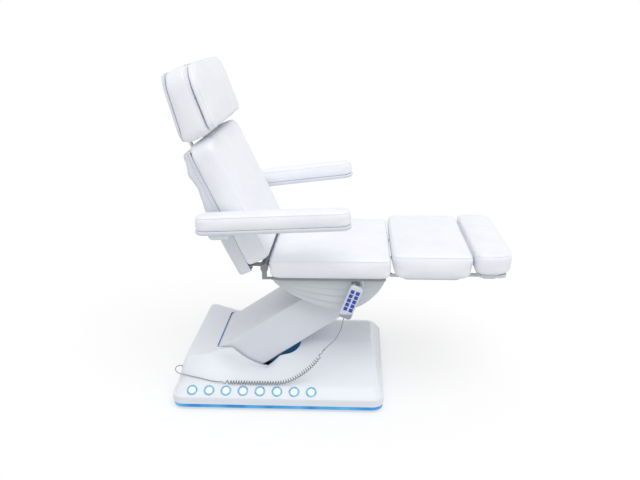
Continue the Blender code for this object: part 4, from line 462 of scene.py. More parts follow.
BUTTON_COUNT = 8
BUTTON_PITCH = 0.0716
BUTTON_FIRST_X = -0.358
BUTTON_RADIUS = 0.0162
BUTTON_DOME = 0.0055
BUTTON_SHANK = 0.011
BUTTON_PLAY = 0.0006
RING_WIDTH = 0.0054
RING_PROUD = 0.0025
RING_DEPTH = 0.0090
HOLE_PLAY = 0.0003
console_tilt = math.atan2(CONSOLE_Z - RIM_Z, CONSOLE_INSET - RIM_ROUND)
console_middle = (BASE_X, (CONSOLE_INSET + RIM_ROUND - BASE_WIDTH) / 2, (RIM_Z + CONSOLE_Z) / 2)
console = Matrix.Translation(console_middle) @ Matrix.Rotation(console_tilt, 4, "X")
ring_inner = BUTTON_RADIUS + BUTTON_PLAY
ring_outer = ring_inner + RING_WIDTH
button_xs = [BUTTON_FIRST_X + BUTTON_PITCH * index for index in range(BUTTON_COUNT)]
button_places = [console @ Matrix.Translation((x, 0.0, 0.0)) for x in button_xs]

ARM_X = -0.213 + BASE_X
ARM_WIDTH = 0.360
SLOT_HEAD_X = ARM_X - 0.0655
SLOT_FOOT_X = 0.085 + BASE_X
SLOT_HALF = ARM_WIDTH / 2 + 0.010
SLOT_HEAD_CORNER = 0.015
SLOT_FOOT_CORNER = 0.070
GLAND_ROOT = Vector((-0.417 + BASE_X, -0.230, 0.125))
GLAND_OUT = Vector((-0.948, 0.0, 0.319)).normalized()
GLAND_HOLE = 0.0083
GLAND_CUT = 0.02
cover_piece = show("base_cover_moulding", cover, gloss_abs, "cover_plastic", "base", "base_cover")
# The wall's inner faces take the inner side's painted blue lamp light.
walled(cover_piece, COVER_WALL).material_offset = 1
cover_piece.data.materials.append(inner_abs)
slot_cut = block((SLOT_HEAD_X, -SLOT_HALF, RIM_Z), (SLOT_FOOT_X, SLOT_HALF, HUMP_TOP + COVER_WALL))
bevel(slot_cut, [edge for edge in along(slot_cut, 2) if edge.verts[0].co.x < ARM_X], SLOT_HEAD_CORNER, 5)
foot_edges = [edge for edge in along(slot_cut, 2) if edge.verts[0].co.x > SLOT_FOOT_X - 1e-5]
bevel(slot_cut, foot_edges, SLOT_FOOT_CORNER, 14)
cover_cuts = [slot_cut]
for at_button in button_places:
    low = at_button @ Vector((0.0, 0.0, -4 * COVER_WALL))
    high = at_button @ Vector((0.0, 0.0, 4 * COVER_WALL))
    cover_cuts.append(tube(low, high, ring_outer + HOLE_PLAY, 48))
gland_run = GLAND_OUT * GLAND_CUT
cover_cuts.append(tube(GLAND_ROOT - gland_run, GLAND_ROOT + gland_run, GLAND_HOLE, 32))
cut(cover_piece, cover_cuts)
even = cover_piece.modifiers.new("even_shading", "WEIGHTED_NORMAL")
even.keep_sharp = True


# Foot buttons: eight white press caps, each domed and free to sink in its ring of blue light. The rings are
# collars of one light guide behind the console, and stand slightly proud of it.
def turned(profile, steps):
    """A body of revolution about z from its profile of (radius, height) points."""
    form = bmesh.new()
    points = [form.verts.new((radius, 0.0, height)) for radius, height in profile]
    edges = [form.edges.new(pair) for pair in zip(points, points[1:])]
    bmesh.ops.spin(
        form, geom=points + edges, cent=(0, 0, 0), axis=(0, 0, 1), angle=2 * math.pi, steps=steps, use_merge=True
    )
    bmesh.ops.remove_doubles(form, verts=form.verts, dist=1e-6)
    return form


# Button caps, polished ABS: pure white, with a faint painted glow for the rings' light inside them.
CAP_PAINTED_RING_GLOW = {"Emission Color": linear("#e8f4ff"), "Emission Strength": 0.10}
button_abs = surface("abs_button_polished", "#f4f7fb", "#fdfeff", (60.0, 2.0), 0.22, also=CAP_PAINTED_RING_GLOW)[0]

# Ring light guide: the strip's acrylic, paler because the light is close behind it.
ring_guide = surface("acrylic_ring_light", "#4a9ccb", "#7fc0e2", (70.0, 1.0), 0.25, span=(0.3, 0.7), glow=0.20)[0]

RING_EDGE = 0.0012
soft = 0.3 * RING_EDGE
ring_profile = [
    (ring_inner, -RING_DEPTH), (ring_inner, RING_PROUD - RING_EDGE), (ring_inner + soft, RING_PROUD - soft),
    (ring_inner + RING_EDGE, RING_PROUD), (ring_outer - RING_EDGE, RING_PROUD), (ring_outer - soft, RING_PROUD - soft),
    (ring_outer, RING_PROUD - RING_EDGE), (ring_outer, -RING_DEPTH), (ring_inner, -RING_DEPTH),
]
CAP_STEPS = 7
CAP_SHARE = 0.97
CAP_EDGE = 0.0006
cap_profile = [(0.0, BUTTON_DOME)]
for k in range(1, CAP_STEPS):
    turn = math.radians(90 * k / CAP_STEPS)
    cap_profile.append((BUTTON_RADIUS * math.sin(turn) * CAP_SHARE, BUTTON_DOME * math.cos(turn)))
cap_profile += [(BUTTON_RADIUS, -CAP_EDGE), (BUTTON_RADIUS, -BUTTON_SHANK), (0.0, -BUTTON_SHANK)]
rings = bmesh.new()
for index, at_button in enumerate(button_places):
    collar = moved(turned(ring_profile, 48), at_button)
    part = mesh_of("collar", collar)
    rings.from_mesh(part)
    bpy.data.meshes.remove(part)
    cap = moved(turned(cap_profile, 40), at_button)
    button_name = "foot_button_" + str(index + 1)
    show(button_name + "_cap", cap, button_abs, "button_plastic", button_name, button_name, sharp=40)
show("ring_light_collars", rings, ring_guide, "blue_light", "base", "ring_lights", sharp=50)

# Slot light: a bar of the same light guide fixed under the cover behind the head edge of the arm's slot, so that
# its light shows in the gap between the cover and the arm.
SLOT_LIGHT_HALF = 0.180
SLOT_LIGHT_THICK = 0.008
SLOT_LIGHT_BACK = 0.016
SLOT_LIGHT_GAP = 0.001
SLOT_LIGHT_EDGE = 0.0012
slot_guide = surface("acrylic_slot_light", "#0b5fa0", "#1a8fd0", STRIP_LAMPS, 0.25, glow=0.9)[0]
slot_light_x = SLOT_HEAD_X - SLOT_LIGHT_BACK
slot_light_z = HUMP_TOP - COVER_WALL - SLOT_LIGHT_GAP
slot_bar = block(
    (slot_light_x - SLOT_LIGHT_THICK, -SLOT_LIGHT_HALF, slot_light_z - SLOT_LIGHT_THICK),
    (slot_light_x, SLOT_LIGHT_HALF, slot_light_z),
)
bevel(slot_bar, slot_bar.edges[:], SLOT_LIGHT_EDGE, 2)
show("slot_light_bar", slot_bar, slot_guide, "blue_light", "base")


# Lift arm: a white box moulding with round ends over two steel bars, open underneath at its foot where the
# lever works, and at its head where the levelling link's lugs pass.
def drawn_across(form, outline, width):
    """A solid from an outline at its -y side, as wide as given."""
    side = form.faces.new([form.verts.new(point) for point in outline])
    grown = bmesh.ops.extrude_face_region(form, geom=[side])["geom"]
    far = [item for item in grown if isinstance(item, bmesh.types.BMVert)]
    bmesh.ops.translate(form, verts=far, vec=(0.0, width, 0.0))
    bmesh.ops.recalc_face_normals(form, faces=form.faces)


def side_outlines(form, top=math.inf):
    """The edges of a mesh that keep to one y and start below a top."""
    found = []
    for edge in form.edges:
        start, end = (vert.co for vert in edge.verts)
        if abs(start.y - end.y) < 1e-6 and min(start.z, end.z) < top - 1e-5:
            found.append(edge)
    return found


ARM_Z = 0.117
ARM_ANGLE = 34.45
ARM_LENGTH = 0.540
ARM_DEPTH = 0.158
ARM_TOP = 0.0893
ARM_HEEL = 0.0985
ARM_HEEL_END = 134.0
ARM_WALL = 0.004
ARM_EDGE = 0.006
SHAFT_HOLE = 0.0134
LUG_HALF = 0.022
LUG_BEHIND = 0.0125
UNDER_HALF = ARM_WIDTH / 2 - 0.028
UNDER_SHARE = 0.4
arm_place = Matrix.Translation((ARM_X, 0.0, ARM_Z)) @ Matrix.Rotation(-math.radians(ARM_ANGLE), 4, "Y")
# The point where the top's slope meets the round heel, found by putting each coordinate into the other in turn.
MEET_ROUNDS = 9
meet = (0.0, ARM_TOP)
for _ in range(MEET_ROUNDS):
    meet = (math.sqrt(ARM_HEEL**2 - meet[1] ** 2), ARM_TOP - (ARM_TOP - ARM_DEPTH / 2) * meet[0] / ARM_LENGTH)
heel_start = math.degrees(math.atan2(meet[1], meet[0]))
arm = bmesh.new()
outline = []
for middle, radius, start, end, steps in (
    (ARM_LENGTH, ARM_DEPTH / 2, -90.0, 90.0, 24),
    (0.0, ARM_HEEL, heel_start, ARM_HEEL_END, 14),
    (0.0, ARM_DEPTH / 2, ARM_HEEL_END, 270.0, 20),
):
    for k in range(steps + 1):
        turn = math.radians(start + (end - start) * k / steps)
        outline.append((middle + radius * math.cos(turn), -ARM_WIDTH / 2, radius * math.sin(turn)))
drawn_across(arm, outline, ARM_WIDTH)
bevel(arm, side_outlines(arm), ARM_EDGE, 4)

# ABS again, satin this time: the arm's moulding is less glossy than the base's, with a faint blue-grey cast.
SATIN_GRAIN = (600.0, 2.0, 0.06, 0.0004)
satin_abs = surface("abs_white_satin", "#dfe3ec", "#e8ebf2", (8.0, 3.0), (0.34, 0.44), SATIN_GRAIN)[0]

moved(arm, arm_place)
arm_piece = show("lift_arm_moulding", arm, satin_abs, "cover_plastic", "lift_arm", "lift_arm_cover")
walled(arm_piece, ARM_WALL)
under_cut = block((-ARM_DEPTH, -UNDER_HALF, -ARM_DEPTH), (UNDER_SHARE * ARM_LENGTH, UNDER_HALF, -ARM_WALL))
top_cut = block((ARM_LENGTH - LUG_BEHIND, -LUG_HALF, ARM_WALL), (ARM_LENGTH + ARM_DEPTH, LUG_HALF, ARM_DEPTH))
arm_cuts = [moved(form, arm_place) for form in (under_cut, top_cut)]
for reach in (0.0, ARM_LENGTH):
    shaft = arm_place @ Vector((reach, 0.0, 0.0))
    arm_cuts.append(tube((shaft.x, -ARM_WIDTH, shaft.z), (shaft.x, ARM_WIDTH, shaft.z), SHAFT_HOLE, 32))
cut(arm_piece, arm_cuts)


# Shroud: a stepped bowl of pale grey ABS bolted under the carrier. Four shells of falling depth stand
# one outside the other like fish scales, and the middle is open where the arm swings.
UPPER = arm_place @ Vector((ARM_LENGTH, 0.0, 0.0))
SEAT_PANEL_Z = UPPER.z + 0.1305
SHROUD_TOP = SEAT_PANEL_Z - 0.004
SHROUD_HEAD_X = UPPER.x - 0.2523
SHROUD_FOOT_X = UPPER.x + 0.2157
SHROUD_LOW_X = UPPER.x + 0.0297
SHROUD_DEPTH = 0.140
SHROUD_HALF = 0.250
SHROUD_STEP = 0.006
SHROUD_STEPS = 3
SHROUD_STEP_SHARE = 0.24
SHROUD_WALL = 0.004
SHROUD_POINTS = 36
SHROUD_EDGE = 0.0022
SHROUD_HEAD_CURVE = (1.5, 0.72)
SHROUD_FOOT_CURVE = (2.2, 0.80)


def shroud_bowl(share, inset, half):
    """A bowl of this share of the full depth, as wide as twice the half width."""
    low = SHROUD_TOP - SHROUD_DEPTH * share + inset
    head = SHROUD_HEAD_X + inset
    foot = SHROUD_FOOT_X - inset
    form = bmesh.new()
    points = []
    for k in range(SHROUD_POINTS + 1):
        x = head + (foot - head) * 0.5 * (1.0 - math.cos(math.pi * k / SHROUD_POINTS))
        if x < SHROUD_LOW_X:
            reach = (SHROUD_LOW_X - x) / (SHROUD_LOW_X - head)
            curve = SHROUD_HEAD_CURVE
        else:
            reach = (x - SHROUD_LOW_X) / (foot - SHROUD_LOW_X)
            curve = SHROUD_FOOT_CURVE
        fall = max(0.0, 1.0 - reach ** curve[0]) ** curve[1]
        points.append((x, -half, SHROUD_TOP - (SHROUD_TOP - low) * fall))
    drawn_across(form, points, 2 * half)
    if not inset:
        bevel(form, side_outlines(form, SHROUD_TOP), SHROUD_EDGE, 3)
    return form


# ABS, moulded with a fine matt texture: pale cool grey, with a 1 mm grain drawn at 2 mm so that it shows.
SHROUD_GRAIN = (500.0, 2.0, 0.10, 0.0004)
shroud_abs = surface("abs_grey_matt", "#cdd4d8", "#dae0e4", (9.0, 3.0), 0.42, SHROUD_GRAIN)[0]

inner_bowl = shroud_bowl(1.0, 0.0, SHROUD_HALF)
shroud_piece = show("seat_shroud_bowls", inner_bowl, shroud_abs, "shroud_plastic", "carrier", "seat_shroud")
outer_bowls = []
for step in range(1, SHROUD_STEPS + 1):
    outer_bowls.append(shroud_bowl(1.0 - SHROUD_STEP_SHARE * step, 0.0, SHROUD_HALF + SHROUD_STEP * step))
cut(shroud_piece, outer_bowls, "UNION")
hollow = shroud_bowl(1.0, SHROUD_WALL, SHROUD_HALF - SHROUD_WALL)
bmesh.ops.translate(hollow, verts=hollow.verts, vec=(0.0, 0.0, SHROUD_WALL / 4))
ARM_PASS = ARM_WIDTH / 2 + 0.030
ARM_PASS_FOOT = ARM_DEPTH / 2 + 0.010
pass_cut = block(
    (SHROUD_HEAD_X - SHROUD_WALL, -ARM_PASS, SEAT_PANEL_Z - 2 * SHROUD_DEPTH),
    (UPPER.x + ARM_PASS_FOOT, ARM_PASS, SEAT_PANEL_Z + 3 * SHROUD_WALL),
)
DRIVE_Y = 0.060
DRIVE_HALF = 0.032
DRIVE_LOW = 0.0525
NOTCH_X = 0.1397
drive_notch = block(
    (UPPER.x + NOTCH_X, DRIVE_Y - DRIVE_HALF, SEAT_PANEL_Z - DRIVE_LOW),
    (SHROUD_FOOT_X + SHROUD_WALL, DRIVE_Y + DRIVE_HALF, SEAT_PANEL_Z + DRIVE_LOW),
)
cut(shroud_piece, [hollow, pass_cut, drive_notch])


# Handset: a slim grey ABS case hung on a bent steel hook by the shroud, with ten square blue keys in two columns.
# The keys sink into wells in the case; the lower end carries the cord.
def edges_at(form, axis, place):
    """The edges of a mesh that lie at one place along an axis."""
    return [edge for edge in form.edges if all(abs(vert.co[axis] - place) < 1e-6 for vert in edge.verts)]


HANDSET_TOP = Vector((UPPER.x + 0.1002, 0.0, SEAT_PANEL_Z - 0.017))
HANDSET_LEAN = 21.5
HANDSET_LENGTH = 0.145
HANDSET_WIDTH = 0.052
HANDSET_BACK_Y = -0.294
HANDSET_FACE_Y = -0.316
HANDSET_ROUND = 0.012
HANDSET_EDGE = 0.004
KEY_ROWS = 5
KEY_COLUMNS = 2
KEY_SIZE = 0.0145
KEY_PLAY = 0.0006
KEY_BACK_Y = HANDSET_FACE_Y + 0.0045
KEY_FRONT_Y = HANDSET_FACE_Y - 0.0015
KEY_ROW_PITCH = 0.0195
KEY_COLUMN_PITCH = 0.0225
KEY_FIRST = 0.025
KEY_CORNER = 0.0022
KEY_EDGE = 0.0009
WELL_FRONT_Y = HANDSET_FACE_Y - 0.0045
WELL_BACK_Y = KEY_BACK_Y + 0.003
handset_place = Matrix.Translation(HANDSET_TOP) @ Matrix.Rotation(math.radians(HANDSET_LEAN), 4, "Y")
case = block((-HANDSET_WIDTH / 2, HANDSET_FACE_Y, -HANDSET_LENGTH), (HANDSET_WIDTH / 2, HANDSET_BACK_Y, 0.0))
bevel(case, along(case, 1), HANDSET_ROUND, 6)
bevel(case, side_outlines(case), HANDSET_EDGE, 4)
moved(case, handset_place)

# ABS handset case, fine spark texture: light grey, darker and greyer towards its rubber-dipped lower end.
CASE_GRAIN = (900.0, 1.0, 0.12, 0.0003)
CASE_COLOURS = ("#d3dae6", "#e0e5ee")
case_abs, tree, shader, place = surface("abs_handset_textured", *CASE_COLOURS, (70.0, 3.0), 0.40, CASE_GRAIN)
DIP_LOW = 0.014
DIP_HIGH = 0.022
foot_of_case = handset_place @ Vector((0.0, 0.0, -HANDSET_LENGTH))
height = add_node(tree, "ShaderNodeSeparateXYZ", {0: place}).outputs["Z"]
dip_range = {"Value": height, "From Min": foot_of_case.z + DIP_LOW, "From Max": foot_of_case.z + DIP_HIGH}
dip = add_node(tree, "ShaderNodeMapRange", dip_range)
pale = shader.inputs["Base Color"].links[0].from_socket
tint = add_node(tree, "ShaderNodeMix", {0: dip.outputs[0], 6: linear("#9aa1ad"), 7: pale}, data_type="RGBA")
tree.links.new(tint.outputs[2], shader.inputs["Base Color"])

# Key caps, silicone: deep blue with a soft satin sheen and a faint mottling over 6 mm.
key_silicone = surface("silicone_key_blue", "#1f3fa6", "#2f55c2", (160.0, 2.0), 0.38)[0]

case_piece = show("handset_case_moulding", case, case_abs, "handset_plastic", "carrier", "handset_case")
half = KEY_SIZE / 2
wide = half + KEY_PLAY
wells = []
for row in range(KEY_ROWS):
    for column in range(KEY_COLUMNS):
        key_x = (column - (KEY_COLUMNS - 1) / 2) * KEY_COLUMN_PITCH
        key_z = -KEY_FIRST - KEY_ROW_PITCH * row
        well = block((key_x - wide, WELL_FRONT_Y, key_z - wide), (key_x + wide, WELL_BACK_Y, key_z + wide))
        wells.append(moved(well, handset_place))
        cap = block((key_x - half, KEY_FRONT_Y, key_z - half), (key_x + half, KEY_BACK_Y, key_z + half))
        bevel(cap, along(cap, 1), KEY_CORNER, 4)
        bevel(cap, edges_at(cap, 1, KEY_FRONT_Y), KEY_EDGE, 3)
        moved(cap, handset_place)
        key_name = "key_" + str(row * KEY_COLUMNS + column + 1)
        show(key_name + "_cap", cap, key_silicone, "key_plastic", key_name, key_name, sharp=40)
cut(case_piece, wells)


# Handset cord: a grey PVC lead, straight at both ends and wound into a curly length between them. It leaves the
# gland in the base's head wall, lies along the top of the console and rises to the handset.
def smooth_route(points, step):
    """Points about a step apart on a smooth curve through the route's own points."""
    knots = [Vector(point) for point in points]
    knots = [2 * knots[0] - knots[1]] + knots + [2 * knots[-1] - knots[-2]]
    route = []
    for before, start, end, after in zip(knots, knots[1:], knots[2:], knots[3:]):
        count = max(2, round((end - start).length / step))
        for k in range(count):
            t = k / count
            point = 2 * start + (end - before) * t
            point += (2 * before - 5 * start + 4 * end - after) * t**2
            point += (3 * start - before - 3 * end + after) * t**3
            route.append(point / 2)
    route.append(knots[-2])
    return route


def cord_tube(name, route, diameter, material):
    """A round cord along a route, as a mesh."""
    curve = bpy.data.curves.new(name, "CURVE")
    curve.dimensions = "3D"
    curve.bevel_depth = diameter / 2
    curve.bevel_resolution = 2
    curve.use_fill_caps = True
    spline = curve.splines.new("POLY")
    spline.points.add(len(route) - 1)
    for knot, point in zip(spline.points, route):
        knot.co = (*point, 1.0)
    helper = link(name + "_line", curve)
    bpy.context.view_layer.update()
    mesh = bpy.data.meshes.new_from_object(helper.evaluated_get(bpy.context.evaluated_depsgraph_get()))
    bpy.data.objects.remove(helper)
    mesh.name = name
    mesh.materials.clear()
    mesh.materials.append(material)
    mesh.shade_smooth()
    return link(name, mesh)


def gentle(share):
    """A share that starts and ends gently."""
    return share * share * (3.0 - 2.0 * share)


CORD_DIAMETER = 0.0036
COIL_OUTER = 0.0178
COIL_CURLS = 40
CURL_POINTS = 16
SLACK_END = 0.020
SLACK_RUN = 0.040
SLACK_SHARE = 0.35
WIDENING_RUN = 0.035
COIL_STEP = 0.004
ROUTE_STEP = 0.006
LEAD_STRAIGHT = 2.5 * CORD_DIAMETER
GLAND_MOUTH = 0.0073
TAIL_STRAIGHT = 0.008
shift = Vector((BASE_X, 0.0, 0.0))
COIL_START = Vector((0.1960, -0.317, 0.258)) + shift
COIL_END = Vector((-0.2450, -0.3300, 0.1090)) + shift
coil_route = [
    (0.1620, -0.320, 0.208), (0.1240, -0.324, 0.169), (0.0840, -0.327, 0.139), (0.0420, -0.329, 0.118),
    (0.0000, -0.329, 0.1085), (-0.0600, -0.329, 0.1075), (-0.1200, -0.329, 0.1075), (-0.1800, -0.3295, 0.1080),
]
tail_route = [
    (-0.2850, -0.3230, 0.1105), (-0.3300, -0.3190, 0.1195), (-0.3750, -0.3180, 0.1295), (-0.4170, -0.3150, 0.1380),
    (-0.4370, -0.2920, 0.1370), (-0.4450, -0.2640, 0.1345), (-0.4430, -0.2440, 0.1325),
]
lead_bow = [(0.245, 0.0113), (0.448, 0.0185), (0.686, 0.0178), (0.860, 0.0073)]
coil_route = [Vector(point) + shift for point in coil_route]
tail_route = [Vector(point) + shift for point in tail_route]
handset_foot = handset_place @ Vector((0.0, (HANDSET_FACE_Y + HANDSET_BACK_Y) / 2, -HANDSET_LENGTH))
handset_down = (handset_place.to_3x3() @ Vector((0.0, 0.0, -1.0))).normalized()
lead_knots = [handset_foot.lerp(COIL_START, share) + Vector((bow, 0.0, 0.0)) for share, bow in lead_bow]
coil_in = (COIL_START - lead_knots[-1]).normalized()
lead_knots = [handset_foot, handset_foot + handset_down * LEAD_STRAIGHT, *lead_knots, COIL_START]
lead_line = smooth_route(lead_knots, ROUTE_STEP)
coil_line = smooth_route([COIL_START + coil_in * COIL_STEP, *coil_route, COIL_END], COIL_STEP)
lengths = [0.0]
for start, end in zip(coil_line, coil_line[1:]):
    lengths.append(lengths[-1] + (end - start).length)
helix = []
count = COIL_CURLS * CURL_POINTS
turns = [0.0]
for k in range(count):
    from_end = lengths[-1] * min(k + 0.5, count - k - 0.5) / count
    wound = max(0.0, min(1.0, (from_end - SLACK_END) / SLACK_RUN))
    turns.append(turns[-1] + SLACK_SHARE + (1.0 - SLACK_SHARE) * gentle(wound))
index = 0
for k in range(count + 1):
    reach = lengths[-1] * k / count
    while index < len(coil_line) - 2 and lengths[index + 1] < reach:
        index += 1
    share = (reach - lengths[index]) / (lengths[index + 1] - lengths[index])
    middle = coil_line[index].lerp(coil_line[index + 1], share)
    onward = (coil_line[min(index + 2, len(coil_line) - 1)] - coil_line[max(index - 1, 0)]).normalized()
    sideways = (Vector((0.0, 1.0, 0.0)) - onward * onward.y).normalized()
    widened = min(1.0, reach / WIDENING_RUN, (lengths[-1] - reach) / WIDENING_RUN)
    radius = gentle(widened) * (COIL_OUTER - CORD_DIAMETER) / 2
    turn = 2 * math.pi * COIL_CURLS * turns[k] / turns[-1]
    helix.append(middle + (sideways * math.cos(turn) + onward.cross(sideways) * math.sin(turn)) * radius)
gland_mouth = GLAND_ROOT + GLAND_OUT * GLAND_MOUTH
tail_line = smooth_route([COIL_END, *tail_route, gland_mouth + GLAND_OUT * TAIL_STRAIGHT, gland_mouth], ROUTE_STEP)
coil_path = ([COIL_START] + helix + tail_line[1:])[::-1]

# PVC, extruded and wound: mid grey and satin, with faint paler patches of about 12 mm.
cord_pvc = surface("pvc_cord_grey", "#868b93", "#9ca1a9", (85.0, 3.0), 0.45)[0]
coil_piece = cord_tube("handset_coil_cord", coil_path, CORD_DIAMETER, cord_pvc)
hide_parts("handset_coil")
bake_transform(coil_piece)
lead_path = lead_line[::-1]
lead_piece = cord_tube("handset_lead_cord", lead_path, CORD_DIAMETER, cord_pvc)
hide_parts("handset_lead")
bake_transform(lead_piece)
SLEEVE_RADIUS = 0.0029
sleeve_profile = [
    (0.0, -0.008), (0.0021, -0.008), (0.0026, -0.0065), (SLEEVE_RADIUS, -0.004),
    (SLEEVE_RADIUS, 0.004), (0.0026, 0.0065), (0.0021, 0.008), (0.0, 0.008),
]
sleeve = turned(sleeve_profile, 20)
sleeve_turn = coil_in.to_track_quat("Z", "Y").to_matrix().to_4x4()
moved(sleeve, Matrix.Translation(COIL_START) @ sleeve_turn)
sleeve_piece = show("cord_joint_sleeve", sleeve, cord_pvc, "cord_plastic", "lift_arm")


# Seat cushion: moulded foam in white PU leather on the seat panel, cut as a top panel and a side band that are
# sewn together along a welt. The band is drawn in between the corners and tucked under at the foot.
PANEL_GRID = 0.030
WAIST = 0.35
FOOT_ROUND = 0.14
EASE_ROUNDS = 3
SEAM_SLOPE = (0.5, 0.88)
SEAM_HEIGHT = 0.6
GLUED_HEIGHT = 0.003
FILL_PRESSURE = 4.0
FILL_FRAMES = 20
WELT_DIAMETER = 0.0020
WELT_INSET = 0.30
WELT_STEP = 0.012
SIDE_SHARE = 0.8


def sewn(point, length, width, thick, crown, pull, foot_thick, tuck):
    """Where a point of the plain cut goes: crowned top, drawn-in sides, tucked ends, tapering thickness."""
    along_x = max(-1.0, min(1.0, 2 * point.x / length))
    along_y = max(-1.0, min(1.0, 2 * point.y / width))
    depth = thick + (foot_thick - thick) * (point.x / length + 0.5)
    share = max(0.0, min(1.0, point.z / thick))
    rise = crown * (1.0 - along_x**4) * (1.0 - along_y**4) * share**3
    waist = 4.0 * share * (1.0 - share) * WAIST + (1.0 - WAIST)
    under = max(0.0, 1.0 - point.z / tuck) if tuck else 0.0
    x = point.x * (1.0 - 2 * tuck / length * (1.0 - math.sqrt(1.0 - under**2)))
    x *= 1.0 - pull * waist * (1.0 - along_y**2)
    y = point.y * (1.0 - pull * waist * (1.0 - along_x**2))
    return Vector((x, y, point.z * depth / thick + rise))


def upholstered(
    node, body, place, box_size, corners, crown,
    edge=0.012, pull=0.008, swell=0.006, tuck=0.0, voxel=0.007, foot_thick=None, foot_round=None,
):
    """A sewn and filled cushion on z = 0 of its place, swollen by a cloth simulation, and the welt along its seam."""
    name = node + "_cover"
    length, width, thick = box_size
    foot_thick = foot_thick or thick
    foot_round = foot_round or FOOT_ROUND * thick
    pattern = (length, width, thick, crown, pull, foot_thick, tuck)
    inset = swell / 2
    half_x = length / 2 - inset
    half_y = width / 2 - inset
    top = thick - inset
    form = block((-half_x, -half_y, 0.0), (half_x, half_y, top))
    bevel(form, [one for one in along(form, 2) if one.verts[0].co.x < 0], corners[0], 8)
    bevel(form, [one for one in along(form, 2) if one.verts[0].co.x > half_x - 1e-5], corners[1], 8)
    seam = []
    for face in form.faces:
        if face.normal.z > 0.9:
            seam = [vert.co.copy() for vert in face.verts]
    bevel(form, edges_at(form, 2, top), edge, 4)
    bevel(form, edges_at(form, 2, 0.0), foot_round, 4)
    for axis, reach in ((0, half_x), (1, half_y)):
        steps = int(2 * reach / PANEL_GRID)
        sliced(form, axis, [-reach + 2 * reach * k / steps for k in range(1, steps)])
    for vert in form.verts:
        vert.co = sewn(vert.co, *pattern)
    piece = show(name, form, leather, "white_leather", body, node)
    remesh = piece.modifiers.new("voxels", "REMESH")
    remesh.mode = "VOXEL"
    remesh.voxel_size = voxel
    bpy.context.view_layer.update()
    settle(piece, 180)
    eased = bmesh.new()
    eased.from_mesh(piece.data)
    for _ in range(EASE_ROUNDS):
        bmesh.ops.smooth_vert(eased, verts=eased.verts, factor=0.5, use_axis_x=True, use_axis_y=True, use_axis_z=True)
    eased.to_mesh(piece.data)
    eased.normal_update()
    held = []
    for vert in eased.verts:
        high = vert.co.z > SEAM_HEIGHT * min(thick, foot_thick)
        on_seam = high and SEAM_SLOPE[0] < vert.normal.z < SEAM_SLOPE[1]
        if on_seam or vert.co.z < GLUED_HEIGHT:
            held.append(vert.index)
    eased.free()
    group = piece.vertex_groups.new(name="sewn")
    group.add(held, 1.0, "REPLACE")
    cloth = piece.modifiers.new("filling", "CLOTH")
    cloth.settings.vertex_group_mass = "sewn"
    cloth.settings.use_pressure = True
    cloth.settings.uniform_pressure_force = FILL_PRESSURE
    cloth.settings.effector_weights.gravity = 0.0
    cloth.settings.quality = 4
    cloth.collision_settings.use_collision = False
    cloth.point_cache.frame_start = 1
    cloth.point_cache.frame_end = FILL_FRAMES
    before = [vert.co.copy() for vert in piece.data.vertices]
    for step in range(1, FILL_FRAMES + 1):
        bpy.context.scene.frame_set(step)
    graph = bpy.context.evaluated_depsgraph_get()
    filled = piece.evaluated_get(graph).to_mesh()
    after = [vert.co.copy() for vert in filled.vertices]
    piece.evaluated_get(graph).to_mesh_clear()
    piece.modifiers.clear()
    piece.vertex_groups.clear()
    bpy.context.scene.frame_set(1)
    for vert, start, end in zip(piece.data.vertices, before, after):
        growth = end - start
        if growth.length > swell:
            growth = growth * (swell / growth.length)
        vert.co = start + growth
        vert.co.z = max(vert.co.z, 0.0)
    piece.data.transform(place)
    piece.data.shade_smooth()
    finer = piece.modifiers.new("finer", "SUBSURF")
    finer.levels = 1
    finer.render_levels = 1
    welt_line = []
    for point in seam:
        shares = (point.x / half_x, point.y / half_y)
        inward = Vector((*[-share if abs(share) > SIDE_SHARE else 0.0 for share in shares], 0.0)).normalized()
        welt_line.append(point + (inward - Vector((0.0, 0.0, 1.0))) * WELT_INSET * edge)
    closed = []
    for start, end in zip(welt_line, welt_line[1:] + welt_line[:1]):
        steps = max(1, round((end - start).length / WELT_STEP))
        closed += [start.lerp(end, k / steps) for k in range(steps)]
    closed = [place @ sewn(point, *pattern) for point in closed]
    welt = cord_tube(name + "_welt", closed + closed[:1], WELT_DIAMETER, leather)
    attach(welt, body)
    return piece


# PU leather, calendered and embossed: cool white that drifts at random towards a faint lavender, shallow creases,
# a soft sheen, and a pebble of about 1.2 mm, drawn at 2.4 mm so that it shows at this distance.
CREASE_SHARE = 1.6
SHEEN = {"Sheen Weight": 0.12, "Sheen Roughness": 0.5}
leather, tree, shader, place = surface(
    "pu_leather_white", "#f2f4fb", "#f9faff", (9.0, 4.0, 0.6), (0.40, 0.54), span=(0.3, 0.7), also=SHEEN
)
pebble = add_node(tree, "ShaderNodeTexVoronoi", {"Vector": place, "Scale": 420.0}, feature="SMOOTH_F1")
crease = add_node(tree, "ShaderNodeTexNoise", {"Vector": place, "Scale": 26.0, "Detail": 5.0, "Distortion": 0.6})
heights = {0: crease.outputs["Fac"], 1: CREASE_SHARE, 2: pebble.outputs["Distance"]}
relief = add_node(tree, "ShaderNodeMath", heights, operation="MULTIPLY_ADD")
bump = add_node(tree, "ShaderNodeBump", {"Height": relief.outputs[0], "Strength": 0.16, "Distance": 0.0010})
tree.links.new(bump.outputs["Normal"], shader.inputs["Normal"])

SEAT_SIZE = (0.495, 0.620, 0.082)
seat_low, seat_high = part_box("seat_cushion")
seat_place = Matrix.Translation(((seat_low.x + seat_high.x) / 2, 0.0, seat_low.z))
upholstered(
    "seat_cushion", "seat", seat_place, SEAT_SIZE, corners=(0.022, 0.022), crown=0.010, pull=0.002, tuck=0.022
)

